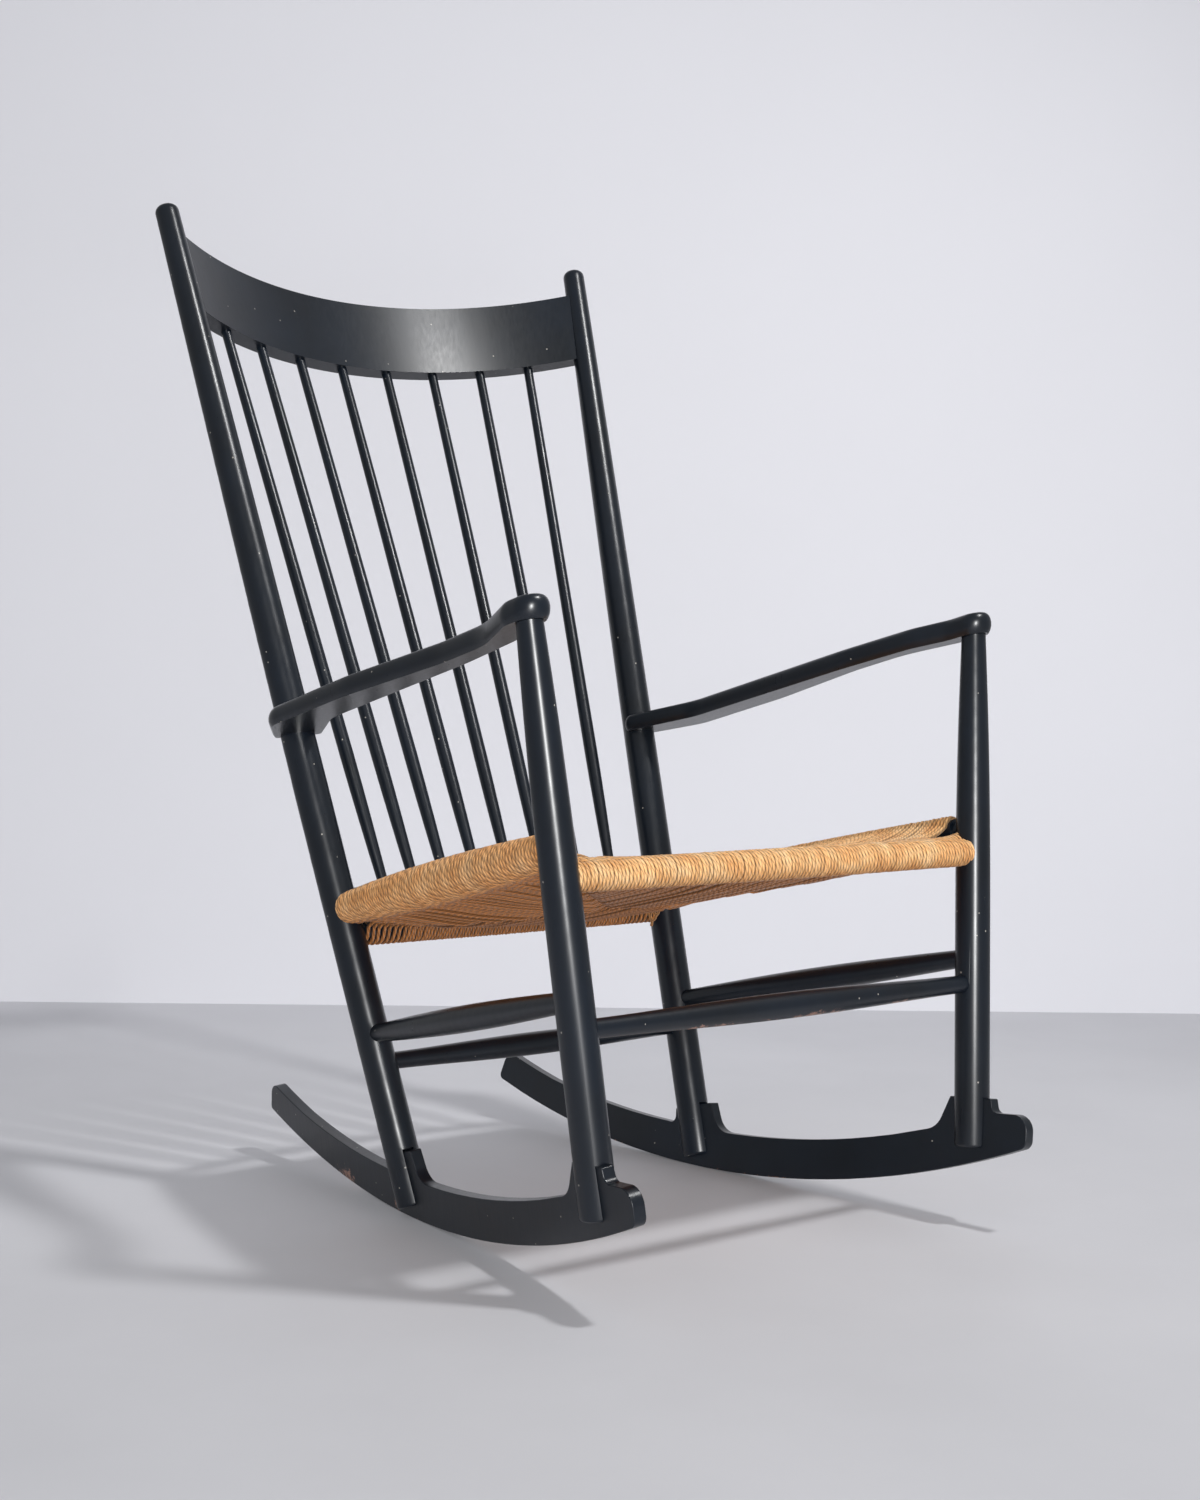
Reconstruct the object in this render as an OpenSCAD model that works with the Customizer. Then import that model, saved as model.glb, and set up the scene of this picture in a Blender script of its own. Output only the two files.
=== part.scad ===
// Rocking chair with a spindle back, turned posts and a woven cord seat.
// X runs across the chair with +X on the sitter's left, Y runs to the back, Z is up from the floor.
// The origin is on the floor, midway across the chair and midway between its nose and its rear end.

/* [Posts] */
// Distance between the rear post axes, where they would reach the floor
rear_spread = 375.2; // [320:1:430]
// Distance between the front post axes, where they would reach the floor
front_spread = 460.7; // [400:1:520]
// Position of the rear post axes along Y at the floor
rear_post_y = 53; // [30:1:80]
// Position of the front post axes along Y at the floor
front_post_y = -303.4; // [-340:1:-270]
// Outward lean of all four posts in degrees
post_splay = 5; // [3:0.1:7]
// Backward lean of the rear posts in degrees
rear_rake = 16.53; // [13:0.1:19]
// Backward lean of the front posts in degrees
front_rake = 2.5; // [0:0.1:5]
// Height of the rear posts' upper ends above the floor
rear_post_top = 1068; // [1040:1:1110]
// Height of the rear posts' lower ends above the floor
rear_post_foot = 12; // [8:1:18]
// Height of the front posts' lower ends above the floor
front_post_foot = 62; // [52:1:66]
// Diameter of the rear posts at the foot
rear_foot_d = 35; // [32:0.5:38]
// Largest diameter of the rear posts, at seat height
rear_post_d = 36; // [34:0.5:39]
// Height of the rear posts' largest diameter
rear_swell_z = 430; // [380:5:480]
// Diameter of the rear posts at the upper end
rear_top_d = 25.6; // [23:0.2:28]
// Diameter of the front posts up to the seat
front_post_d = 34.8; // [32:0.2:38]
// Height where the front posts start to taper
front_taper_z = 290; // [240:5:330]
// Diameter of the front posts under the arm
front_top_d = 24.2; // [22:0.2:28]
// Height of the dome on a rear post
post_dome = 9; // [5:0.5:12]
// Rounding of the post ends beside the runner
foot_round = 3; // [1:0.5:5]

/* [Runners] */
// Radius of the arc that rolls on the floor
rocker_r = 1070; // [950:5:1250]
// Position along Y where the arc touches the floor
rocker_y = 7; // [0:0.5:14]
// Thickness of the runner board
runner_t = 12.5; // [11:0.5:14]
// Depth of the runner board between the posts
runner_depth = 41; // [36:0.5:44]
// Depth of the runner board at the tail
tail_depth = 34.5; // [31:0.5:38]
// Reach of the nose in front of the rolling point, along the board
nose_reach = 377; // [365:1:400]
// Reach of the tail behind the rolling point, along the board
tail_reach = 379; // [340:1:420]
// Height of the rear post's shoulder on the runner, on the post's axis
rear_shoulder_z = 65.5; // [60:0.5:70]
// Height of the front post's shoulder on the runner, on the post's axis
front_shoulder_z = 110; // [105:0.5:115]

/* [Stretchers] */
// Height of the side stretchers on the rear posts
side_stretcher_rear_z = 180; // [165:1:190]
// Height of the side stretchers on the front posts
side_stretcher_front_z = 248; // [244:1:262]
// Height of the front stretcher
front_stretcher_z = 222.5; // [205:1:226]
// Height of the rear stretcher
rear_stretcher_z = 152; // [130:1:158]
// Diameter of the side stretchers' ends
side_stretcher_end_d = 18.5; // [15:0.5:19]
// Largest diameter of the side stretchers
side_stretcher_d = 25.5; // [22:0.5:30]
// Diameter of the front and rear stretchers' ends
cross_stretcher_end_d = 17.5; // [15:0.5:19]
// Largest diameter of the front and rear stretchers
cross_stretcher_d = 24.5; // [22:0.5:30]
// Distance from a post's axis to the end of a rail or stretcher in it
tenon_stop = 6.5; // [5.5:0.5:9]

/* [Seat] */
// Height of the front seat rail
front_rail_z = 353; // [340:1:356]
// Height of the side seat rails on the front posts
side_rail_front_z = 377; // [374:1:390]
// Height of the side seat rails on the rear posts
side_rail_rear_z = 305; // [302:1:308]
// Height of the rear seat rail
rear_rail_z = 281; // [268:1:284]
// Diameter of the front and rear seat rails
seat_rail_d = 21; // [18:0.5:24]
// Diameter of the side seat rails
side_rail_d = 24; // [20:0.5:27]
// Diameter of the seat rails' tenons
seat_tenon_d = 17; // [14:0.5:18]
// Diameter of the seat cord
cord_d = 3.3; // [2.5:0.1:4.5]
// Thickness of the woven seat between the rails
seat_t = 24; // [16:0.5:25]
// Sag of the seat at its middle
seat_sag = 8; // [0:0.5:12]

/* [Back] */
// Drop from the rear posts' upper ends to the crest rail's middle line on their axes
crest_drop = 76; // [58:1:93]
// Backward lean of the crest rail in degrees
crest_lean = 19.2; // [16:0.2:23]
// Bow of the crest rail behind the posts' axes
crest_bow = 90.6; // [70:0.2:110]
// Height of the crest rail at its middle
crest_h = 87.4; // [76:0.2:100]
// Drop of the crest rail's top edge at its ends
crest_arch = 1; // [0.5:0.5:8]
// Thickness of the crest rail
crest_t = 19; // [16:0.5:22]
// Thickness of the crest rail's tenons
crest_tenon_t = 11; // [8:0.5:13]
// Height of the crest rail's tenons
crest_tenon_h = 56; // [40:1:64]
// Distance from a post's axis to the end of the crest rail's tenon
crest_tenon_stop = 4; // [2:0.5:6]
// Height of the lower back rail
lower_rail_z = 317; // [316:0.5:326]
// Diameter of the lower back rail
lower_rail_d = 20; // [18:0.5:21]
// Diameter of the lower back rail's tenons
lower_tenon_d = 12; // [9:0.5:12]
// Bow of the lower back rail behind its ends
lower_rail_bow = 30; // [20:1:36]
// Distance that the lower back rail's ends lie in front of the posts' axes
lower_rail_set = 7; // [3:0.5:8]
// Distance from a post's axis to the end of the lower back rail in it
lower_rail_stop = 8; // [7:0.5:10]
// Number of spindles
spindle_count = 8; // [8]
// Distance between spindles along the crest rail
spindle_pitch_top = 61.9; // [56:0.1:64]
// Distance between spindles along the lower back rail
spindle_pitch_low = 43.6; // [38:0.1:47]
// Diameter of a spindle at the crest rail
spindle_top_d = 11; // [9:0.5:13]
// Largest diameter of a spindle
spindle_d = 15; // [13:0.5:18]
// Diameter of a spindle at the lower back rail
spindle_low_d = 11; // [9:0.5:12]
// Share of a spindle's length below its largest diameter
spindle_swell = 0.24; // [0.15:0.01:0.35]
// Depth of a spindle in the crest rail
spindle_top_depth = 18; // [12:1:25]
// Depth of a spindle in the lower back rail
spindle_low_depth = 9; // [6:0.5:10]

/* [Arms] */
// Height of the arm's underside at the front post's axis
arm_z = 570.6; // [560:0.2:585]
// Fall of the arm's underside towards the back in degrees
arm_fall = 10.2; // [8:0.2:12]
// Thickness of the arm at the front post
arm_front_t = 21.5; // [18:0.5:25]
// Thickness of the arm at the rear post
arm_rear_t = 18.5; // [16:0.5:22]
// Radius of the arm's round front end
arm_knob_r = 18; // [16:0.5:21]
// Rounding of the arm's edges
arm_round = 7.5; // [5:0.5:8]
// Diameter of the front post's tenon in the arm
arm_tenon_d = 16; // [12:0.5:18]
// Length of the front post's tenon in the arm
arm_tenon_h = 13; // [10:0.5:15]

/* [Fits] */
// Gap between flat faces that meet in a joint
face_gap = 0.1; // [0.05:0.05:0.3]
// Gap round a tenon in its socket
socket_gap = 0.15; // [0.1:0.05:0.3]
// Gap between the seat cord and the wood
cord_gap = 0.3; // [0.2:0.1:0.8]

/* [Rest] */
// Backward tilt in degrees at which the empty chair comes to rest
rest_tilt = 2.87; // [0:0.05:4]

/* [Hidden] */
$fn = 72;

lacquer = [0.13, 0.15, 0.18];
cord_colour = [0.80, 0.66, 0.45];
far = 2000;

// Vector and curve helpers
function unit(v) = v / norm(v);
function flat(p) = [p[0], p[1]];
function mix(a, b, t) = a * (1 - t) + b * t;
function ease(t) = (1 - cos(180 * min(1, max(0, t)))) / 2;
function mirrored(p) = [-p[0], p[1], p[2]];

// Arc that rounds the corner b between a and c with radius r, in n steps
function bend(a, b, c, r, n) =
    let (
        p = unit(a - b),
        q = unit(c - b),
        half = acos(p * q) / 2,
        centre = b + unit(p + q) * r / sin(half),
        from = b + p * r / tan(half) - centre,
        to = b + q * r / tan(half) - centre
    )
    [for (k = [0 : n]) centre + r * unit(mix(from, to, k / n))];

// Closed outline through corners [x, y, radius], with each radius above 0 rounded
function rounded(corners, n = 6) = [
    for (i = [0 : len(corners) - 1])
        let (
            count = len(corners),
            a = flat(corners[(i + count - 1) % count]),
            b = flat(corners[i]),
            c = flat(corners[(i + 1) % count]),
            r = corners[i][2]
        )
        each (r > 0 ? bend(a, b, c, r, n) : [b])
];

// Radius and centre offset of the arc with this half chord and this bow
function bow_radius(half_chord, bow) = (half_chord * half_chord + bow * bow) / (2 * bow);

// Points on the axes of the left posts at height z
function rear_at(z) = [
    rear_spread / 2 + z * tan(post_splay), rear_post_y + z * tan(rear_rake), z
];
function front_at(z) = [
    front_spread / 2 + z * tan(post_splay), front_post_y + z * tan(front_rake), z
];
rear_dir = unit(rear_at(1) - rear_at(0));
front_dir = unit(front_at(1) - front_at(0));

// Radius of each post at height z: a slight swell, then a taper that quickens
rear_taper_power = 1.35;
front_taper_power = 2.2;
function rear_r(z) =
    z < rear_swell_z
        ? mix(rear_foot_d, rear_post_d, ease(z / rear_swell_z)) / 2
        : mix(
            rear_post_d, rear_top_d,
            pow((z - rear_swell_z) / (rear_post_top - rear_swell_z), rear_taper_power)
        ) / 2;
function front_r(z) =
    z < front_taper_z
        ? front_post_d / 2
        : mix(
            front_post_d, front_top_d,
            pow(min(1, (z - front_taper_z) / (arm_z - front_taper_z)), front_taper_power)
        ) / 2;

// Moves children so that their Z axis runs from a towards b
module along(a, b) {
    d = b - a;
    translate(a) rotate([0, acos(d[2] / norm(d)), atan2(d[1], d[0])]) children();
}

// Round bar from a to b
module bar(a, b, d) {
    along(a, b) cylinder(h = norm(b - a), d = d);
}

// Makes the right copy of a piece drawn on the left
module on_right() {
    mirror([1, 0, 0]) children();
}

// The runner's plane holds the rear post's axis and the front post's foot
runner_n = let (n = unit(cross(rear_dir, rear_at(0) - front_at(front_post_foot)))) n[0] < 0 ? -n : n;
runner_cant = asin(-runner_n[2]);
runner_toe = atan2(runner_n[1], runner_n[0]);
runner_o = [
    (runner_n * rear_at(0) - runner_n[1] * rocker_y) / runner_n[0], rocker_y, 0
];
runner_u = [-sin(runner_toe), cos(runner_toe), 0];
runner_v = cross(runner_n, runner_u);
function on_board(p) = [(p - runner_o) * runner_u, (p - runner_o) * runner_v];

// Places children drawn in the board's plane, centred on its thickness
module in_board_plane() {
    translate(runner_o)
        rotate([0, 0, runner_toe]) rotate([0, runner_cant, 0]) rotate([90, 0, 90])
            children();
}

// Point at this angle along the rocker and this depth above the rolling arc
arc_step = 1.5;
function rocker_at(angle, depth) = [
    (rocker_r - depth) * sin(angle) / cos(runner_toe),
    (rocker_r - (rocker_r - depth) * cos(angle)) / cos(runner_cant),
    0
];
tail_thin_start = 5;
tail_thin_end = 16;
function board_depth(angle) =
    mix(
        runner_depth, tail_depth,
        min(1, max(0, (angle - tail_thin_start) / (tail_thin_end - tail_thin_start)))
    );

// Frame of a post in the board's plane: its shoulder point, its axis and the way behind it
rear_joint = on_board(rear_at(rear_shoulder_z));
rear_up = unit(on_board(rear_at(rear_shoulder_z + 1)) - rear_joint);
rear_back = [rear_up[1], -rear_up[0]];
front_joint = on_board(front_at(front_shoulder_z));
front_up = unit(on_board(front_at(front_shoulder_z + 1)) - front_joint);
front_back = [front_up[1], -front_up[0]];
function angle_at(u) = asin(u * cos(runner_toe) / rocker_r);

// Ears of the runner beside the posts: how far they stand out and their rounding
rear_ear_behind = 2;
rear_ear_front = 16;
front_ear_behind = 5.5;
front_ear_front = 8;
ear_tip_r = 1.8;
function rear_ear_points() =
    let (
        behind = rear_joint + rear_back * (rear_foot_d / 2 + rear_ear_behind),
        ahead = rear_joint - rear_back * (rear_foot_d / 2) - [rear_ear_front, -1],
        foot = ahead - [11, 0]
    )
    [
        concat(flat(rocker_at(angle_at(behind[0] + 3), runner_depth)), 7),
        concat(behind, ear_tip_r),
        concat(ahead, ear_tip_r),
        concat(flat(rocker_at(angle_at(foot[0]), runner_depth)), 22)
    ];
function front_ear_points() =
    let (
        behind = front_joint + front_back * (front_post_d / 2 + front_ear_behind),
        ahead = front_joint - front_back * (front_post_d / 2 + front_ear_front),
        valley = ahead - [3, 13.5]
    )
    [
        concat(flat(rocker_at(angle_at(behind[0] + 4), runner_depth)), 24),
        concat(behind, ear_tip_r),
        concat(ahead, ear_tip_r),
        concat(valley, 7)
    ];

// Side outline of the runner board, from the nose along the rolling arc and back over the top
nose_h = 31.3;
nose_top_r = 15;
nose_low_r = 10;
tail_top_r = 14;
tail_low_r = 6;
nose_clear = 22;
tail_clear = 30;
function runner_outline() =
    let (
        nose_angle = angle_at(-nose_reach + nose_clear),
        tail_angle = angle_at(tail_reach - tail_clear),
        rear_ear = rear_ear_points(),
        front_ear = front_ear_points(),
        nose_low = rocker_at(angle_at(-nose_reach), 0),
        tail_low = rocker_at(angle_at(tail_reach), 0),
        behind_rear = angle_at(rear_ear[0][0] + 14),
        ahead_rear = angle_at(rear_ear[3][0] - 24),
        behind_front = angle_at(front_ear[0][0] + 26)
    )
    rounded(concat(
        [for (a = [nose_angle : arc_step : tail_angle]) rocker_at(a, 0)],
        [
            concat(flat(tail_low), tail_low_r),
            concat(flat(rocker_at(angle_at(tail_reach), tail_depth)), tail_top_r)
        ],
        [for (a = [tail_angle : -arc_step : behind_rear]) rocker_at(a, board_depth(a))],
        rear_ear,
        [for (a = [ahead_rear : -arc_step : behind_front]) rocker_at(a, runner_depth)],
        front_ear,
        [
            concat(flat(nose_low) + [0, nose_h], nose_top_r),
            concat(flat(nose_low), nose_low_r)
        ]
    ));

// Runner board, cut level underneath where it rolls on the floor
module runner() {
    color(lacquer)
        intersection() {
            in_board_plane() linear_extrude(runner_t, center = true) polygon(runner_outline());
            translate([0, rocker_y, rocker_r])
                rotate([0, 90, 0]) cylinder(h = far, r = rocker_r, center = true, $fn = 720);
        }
}

// Slot in a post that straddles the runner, up to the shoulder
module runner_slot(joint, up, back) {
    half = 60;
    below = 150;
    top = joint + up * face_gap;
    in_board_plane()
        linear_extrude(runner_t + 2 * face_gap, center = true)
            polygon([
                top + back * half, top - back * half,
                top - back * half - up * below, top + back * half - up * below
            ]);
}

// Ends of each cross piece on the post axes, on the left or at the left end
side_stretcher_ends = [rear_at(side_stretcher_rear_z), front_at(side_stretcher_front_z)];
side_rail_ends = [rear_at(side_rail_rear_z), front_at(side_rail_front_z)];
front_stretcher_end = front_at(front_stretcher_z);
rear_stretcher_end = rear_at(rear_stretcher_z);
front_rail_end = front_at(front_rail_z);
rear_rail_end = rear_at(rear_rail_z);

// Round bar between two post axes that stops short of both, and the socket that it needs
module tenoned_bar(a, b, d, gap = 0) {
    way = unit(b - a);
    bar(a + way * (tenon_stop - gap), b - way * (tenon_stop - gap), d + 2 * gap);
}

// Lathe profile [radius, height] of a stretcher: thin ends and a long swell between
swell_steps = 24;
function swelled(length, end_d, mid_d, power) = [
    for (k = [0 : swell_steps])
        let (t = k / swell_steps)
        [mix(end_d, mid_d, pow(sin(180 * t), power)) / 2, length * t]
];

// Turned round bar from a to b, thickest at its middle
module swelled_bar(a, b, end_d, mid_d, power) {
    length = norm(b - a);
    along(a, b)
        rotate_extrude()
            polygon(concat([[0, 0]], swelled(length, end_d, mid_d, power), [[0, length]]));
}

// Turned stretcher between the post axes a and b
module stretcher(a, b, end_d, mid_d, power) {
    straight = tenon_stop + 14;
    way = unit(b - a);
    color(lacquer)
        union() {
            swelled_bar(a + way * straight, b - way * straight, end_d, mid_d, power);
            tenoned_bar(a, b, end_d);
        }
}

// The four stretchers: the cross ones swell towards the middle, the side ones more evenly
cross_power = 1.5;
side_power = 1;
module front_stretcher() {
    stretcher(
        mirrored(front_stretcher_end), front_stretcher_end,
        cross_stretcher_end_d, cross_stretcher_d, cross_power
    );
}
module rear_stretcher() {
    stretcher(
        mirrored(rear_stretcher_end), rear_stretcher_end,
        cross_stretcher_end_d, cross_stretcher_d, cross_power
    );
}
module side_stretcher() {
    stretcher(
        side_stretcher_ends[0], side_stretcher_ends[1],
        side_stretcher_end_d, side_stretcher_d, side_power
    );
}

// Seat rail between the post axes a and b: its full body, and the whole rail with its tenons
module rail_body(a, b, gap_a, gap_b, d) {
    way = unit(b - a);
    bar(a + way * gap_a, b - way * gap_b, d);
}
module seat_rail(a, b, gap_a, gap_b, d) {
    color(lacquer)
        union() {
            tenoned_bar(a, b, seat_tenon_d);
            rail_body(a, b, gap_a, gap_b, d);
        }
}
module front_seat_rail() {
    seat_rail(
        mirrored(front_rail_end), front_rail_end,
        front_rail_start, front_rail_start, seat_rail_d
    );
}
module rear_seat_rail() {
    seat_rail(
        mirrored(rear_rail_end), rear_rail_end,
        rear_rail_start, rear_rail_start, seat_rail_d
    );
}
module side_seat_rail() {
    seat_rail(
        side_rail_ends[0], side_rail_ends[1],
        side_rail_rear_start, side_rail_front_start, side_rail_d
    );
}

// Distance from a post's axis to where a seat rail's full diameter starts, more where it meets it slanted
rail_clear = 0.3;
square_end = 1.5;
slanted_end = 3.2;
front_rail_start = front_r(front_rail_z) + square_end;
rear_rail_start = rear_r(rear_rail_z) + square_end;
side_rail_rear_start = rear_r(side_rail_rear_z) + slanted_end;
side_rail_front_start = front_r(side_rail_front_z) + slanted_end;

// Lathe profile of a rear post over heights along its own axis
profile_step = 40;
function rear_profile(length, foot) =
    let (
        lean = rear_dir[2],
        body = length - post_dome,
        top_r = rear_r(foot + body * lean)
    )
    concat(
        [[0, 0], [rear_r(foot) - foot_round, 0]],
        [for (a = [15 : 15 : 75]) [
            rear_r(foot) - foot_round + foot_round * sin(a), foot_round - foot_round * cos(a)
        ]],
        [for (s = [foot_round : profile_step : body - 5]) [rear_r(foot + s * lean), s]],
        [for (a = [0 : 10 : 80]) [top_r * pow(cos(a), 0.8), body + post_dome * sin(a)]],
        [[0, length]]
    );

// Rear post with its slot for the runner and its sockets
module rear_post() {
    foot = rear_at(rear_post_foot);
    top = rear_at(rear_post_top);
    color(lacquer)
        difference() {
            along(foot, top) rotate_extrude() polygon(rear_profile(norm(top - foot), rear_post_foot));
            runner_slot(rear_joint, rear_up, rear_back);
            tenoned_bar(side_stretcher_ends[0], side_stretcher_ends[1], side_stretcher_end_d, socket_gap);
            tenoned_bar(side_rail_ends[0], side_rail_ends[1], seat_tenon_d, socket_gap);
            tenoned_bar(rear_stretcher_end, mirrored(rear_stretcher_end), cross_stretcher_end_d, socket_gap);
            tenoned_bar(rear_rail_end, mirrored(rear_rail_end), seat_tenon_d, socket_gap);
            lower_rail_bar(lower_tenon_d + 2 * socket_gap, lower_rail_stop - socket_gap);
            crest_tenon(crest_tenon_t + 2 * face_gap, crest_tenon_h + 2 * face_gap, crest_tenon_stop - face_gap);
        }
}

// Lathe profile of a front post, up to where the arm's underside cuts it
function front_profile(length, foot) =
    let (lean = front_dir[2])
    concat(
        [[0, 0], [front_post_d / 2 - foot_round, 0]],
        [for (a = [15 : 15 : 75]) [
            front_post_d / 2 - foot_round + foot_round * sin(a), foot_round - foot_round * cos(a)
        ]],
        [[front_post_d / 2, foot_round]],
        [for (s = [(front_taper_z - foot) / lean : profile_step / 2 : length]) [front_r(foot + s * lean), s]],
        [[front_r(foot + length * lean), length], [0, length]]
    );

// The arm's underside: a plane that falls to the back
arm_post = front_at(arm_z);
arm_under_y = arm_post[1];
function arm_under(y) = arm_z - (y - arm_under_y) * tan(arm_fall);
module above_arm_underside(gap = 0) {
    translate([0, arm_under_y, arm_z - gap])
        rotate([-arm_fall, 0, 0]) translate([0, 0, far / 2]) cube(far, center = true);
}

// Round tenon on top of a front post
module arm_tenon(gap = 0) {
    length = arm_tenon_h + gap;
    along(arm_post, arm_post + front_dir)
        translate([0, 0, -arm_tenon_h]) cylinder(h = arm_tenon_h + length, d = arm_tenon_d + 2 * gap);
}

// Front post with its slot for the runner, its sockets and the tenon for the arm
module front_post() {
    foot = front_at(front_post_foot);
    top = front_at(arm_z + front_top_d);
    color(lacquer)
        union() {
            difference() {
                along(foot, top) rotate_extrude() polygon(front_profile(norm(top - foot), front_post_foot));
                runner_slot(front_joint, front_up, front_back);
                tenoned_bar(side_stretcher_ends[0], side_stretcher_ends[1], side_stretcher_end_d, socket_gap);
                tenoned_bar(side_rail_ends[0], side_rail_ends[1], seat_tenon_d, socket_gap);
                tenoned_bar(front_stretcher_end, mirrored(front_stretcher_end), cross_stretcher_end_d, socket_gap);
                tenoned_bar(front_rail_end, mirrored(front_rail_end), seat_tenon_d, socket_gap);
                above_arm_underside(face_gap);
            }
            arm_tenon();
        }
}

// Frame of the crest rail: its middle point, with local Z along the back's lean
crest_z = rear_post_top - crest_drop;
crest_post = rear_at(crest_z);
crest_mid = [
    0, crest_post[1] + crest_bow * cos(crest_lean), crest_z - crest_bow * sin(crest_lean)
];
crest_r = bow_radius(crest_post[0], crest_bow);
module in_crest_frame() {
    translate(crest_mid) rotate([-crest_lean, 0, 0]) children();
}
function from_crest_frame(p) = crest_mid + [
    p[0],
    p[1] * cos(crest_lean) + p[2] * sin(crest_lean),
    p[2] * cos(crest_lean) - p[1] * sin(crest_lean)
];

// Curved band of this thickness and height on the crest's arc
module crest_band(thickness, height) {
    in_crest_frame()
        translate([0, -crest_r, 0])
            linear_extrude(height, center = true)
                intersection() {
                    difference() {
                        circle(r = crest_r + thickness / 2, $fn = 360);
                        circle(r = crest_r - thickness / 2, $fn = 360);
                    }
                    translate([0, crest_r]) square([4 * crest_r, 2 * crest_r], center = true);
                }
}

// Front view of the crest rail: a straight lower edge and a slightly arched top
function crest_front() =
    let (
        half = crest_post[0] + rear_top_d,
        radius = bow_radius(crest_post[0], crest_arch + 0.001)
    )
    concat(
        [[-half, -crest_h / 2], [half, -crest_h / 2]],
        [for (k = [12 : -1 : -12])
            let (x = half * k / 12)
            [x, crest_h / 2 - (radius - sqrt(radius * radius - x * x))]
        ]
    );

// Keeps what lies at least this far inside the axis of each rear post
module between_rear_posts(stop) {
    module beyond() {
        along(rear_at(0), rear_at(1))
            rotate([0, 0, atan2(rear_dir[1], rear_dir[0]) * -1])
                translate([far / 2 - stop, 0, 0]) cube([far, far, 2 * far], center = true);
    }
    difference() {
        children();
        beyond();
        on_right() beyond();
    }
}

// Tenons of the crest rail, which run on into the posts
module crest_tenon(thickness, height, stop) {
    between_rear_posts(stop) crest_band(thickness, height);
}

// Crest rail: a bent board with shoulders that fit the posts
module crest_rail() {
    color(lacquer)
        union() {
            difference() {
                intersection() {
                    crest_band(crest_t, 2 * crest_h);
                    in_crest_frame()
                        rotate([90, 0, 0]) linear_extrude(far, center = true) polygon(crest_front());
                }
                rear_post_hole(face_gap + socket_gap);
                on_right() rear_post_hole(face_gap + socket_gap);
                beyond_rear_posts();
                on_right() beyond_rear_posts();
                spindle_sockets();
            }
            difference() {
                crest_tenon(crest_tenon_t, crest_tenon_h, crest_tenon_stop);
                spindle_sockets();
            }
        }
}

// Room taken by a rear post above the seat, grown by a gap
module rear_post_hole(gap) {
    base = rear_at(front_taper_z);
    top = rear_at(rear_post_top);
    lean = rear_dir[2];
    length = norm(top - base);
    along(base, top)
        rotate_extrude()
            polygon(concat(
                [[0, 0]],
                [for (s = [0 : profile_step : length]) [rear_r(front_taper_z + s * lean) + gap, s]],
                [[rear_r(rear_post_top) + gap, length + 40], [0, length + 40]]
            ));
}

// Everything outside the axis of the left rear post
module beyond_rear_posts() {
    along(rear_at(0), rear_at(1))
        rotate([0, 0, -atan2(rear_dir[1], rear_dir[0])])
            translate([far / 2, 0, 0]) cube([far, far, 2 * far], center = true);
}

// Lower back rail: a bent round bar between the rear posts
lower_end = rear_at(lower_rail_z) - [0, lower_rail_set, 0];
lower_r = bow_radius(lower_end[0], lower_rail_bow);
lower_centre = [0, lower_end[1] + lower_rail_bow - lower_r, lower_rail_z];
module lower_rail_bar(d, stop) {
    half_turn = asin(lower_end[0] / lower_r);
    between_rear_posts(stop)
        translate(lower_centre)
            rotate([0, 0, 90 - half_turn])
                rotate_extrude(angle = 2 * half_turn, $fn = 160)
                    translate([lower_r, 0]) circle(d = d, $fn = 40);
}
module lower_back_rail() {
    color(lacquer)
        difference() {
            union() {
                difference() {
                    lower_rail_bar(lower_rail_d, 0);
                    rear_post_hole(rail_clear);
                    on_right() rear_post_hole(rail_clear);
                }
                lower_rail_bar(lower_tenon_d, lower_rail_stop);
            }
            spindle_sockets();
        }
}

// Where spindle i meets the middle lines of the lower rail and the crest rail
function spindle_share(i) = i - (spindle_count + 1) / 2;
function spindle_low(i) =
    let (a = spindle_share(i) * spindle_pitch_low / lower_r * 180 / PI)
    lower_centre + lower_r * [sin(a), cos(a), 0];
function spindle_high(i) =
    let (a = spindle_share(i) * spindle_pitch_top / crest_r * 180 / PI)
    from_crest_frame([crest_r * sin(a), crest_r * cos(a) - crest_r, -crest_h / 2]);
function spindle_start(i) =
    spindle_low(i)
    + unit(spindle_high(i) - spindle_low(i)) * (lower_rail_d / 2 - spindle_low_depth);
function spindle_end(i) =
    spindle_high(i) + unit(spindle_high(i) - spindle_low(i)) * spindle_top_depth;

// Diameter of a spindle at this share of its length
spindle_steps = 18;
function spindle_d_at(t) =
    t < spindle_swell
        ? mix(spindle_low_d, spindle_d, ease(0.5 + t / spindle_swell / 2) * 2 - 1)
        : mix(spindle_d, spindle_top_d, pow((t - spindle_swell) / (1 - spindle_swell), 1.1));

// Spindle: straight ends in the rails and a slender swell low down
module spindle(i) {
    low = spindle_start(i);
    high = spindle_end(i);
    way = unit(high - low);
    length = norm(high - low);
    low_in = spindle_low_depth + 2;
    high_in = spindle_top_depth + 3;
    shown = length - low_in - high_in;
    color(lacquer)
        along(low, high)
            rotate_extrude($fn = 48)
                polygon(concat(
                    [[0, 0], [spindle_low_d / 2, 0]],
                    [for (k = [0 : spindle_steps])
                        [spindle_d_at(k / spindle_steps) / 2, low_in + shown * k / spindle_steps]
                    ],
                    [[spindle_top_d / 2, length], [0, length]]
                ));
}

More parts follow.
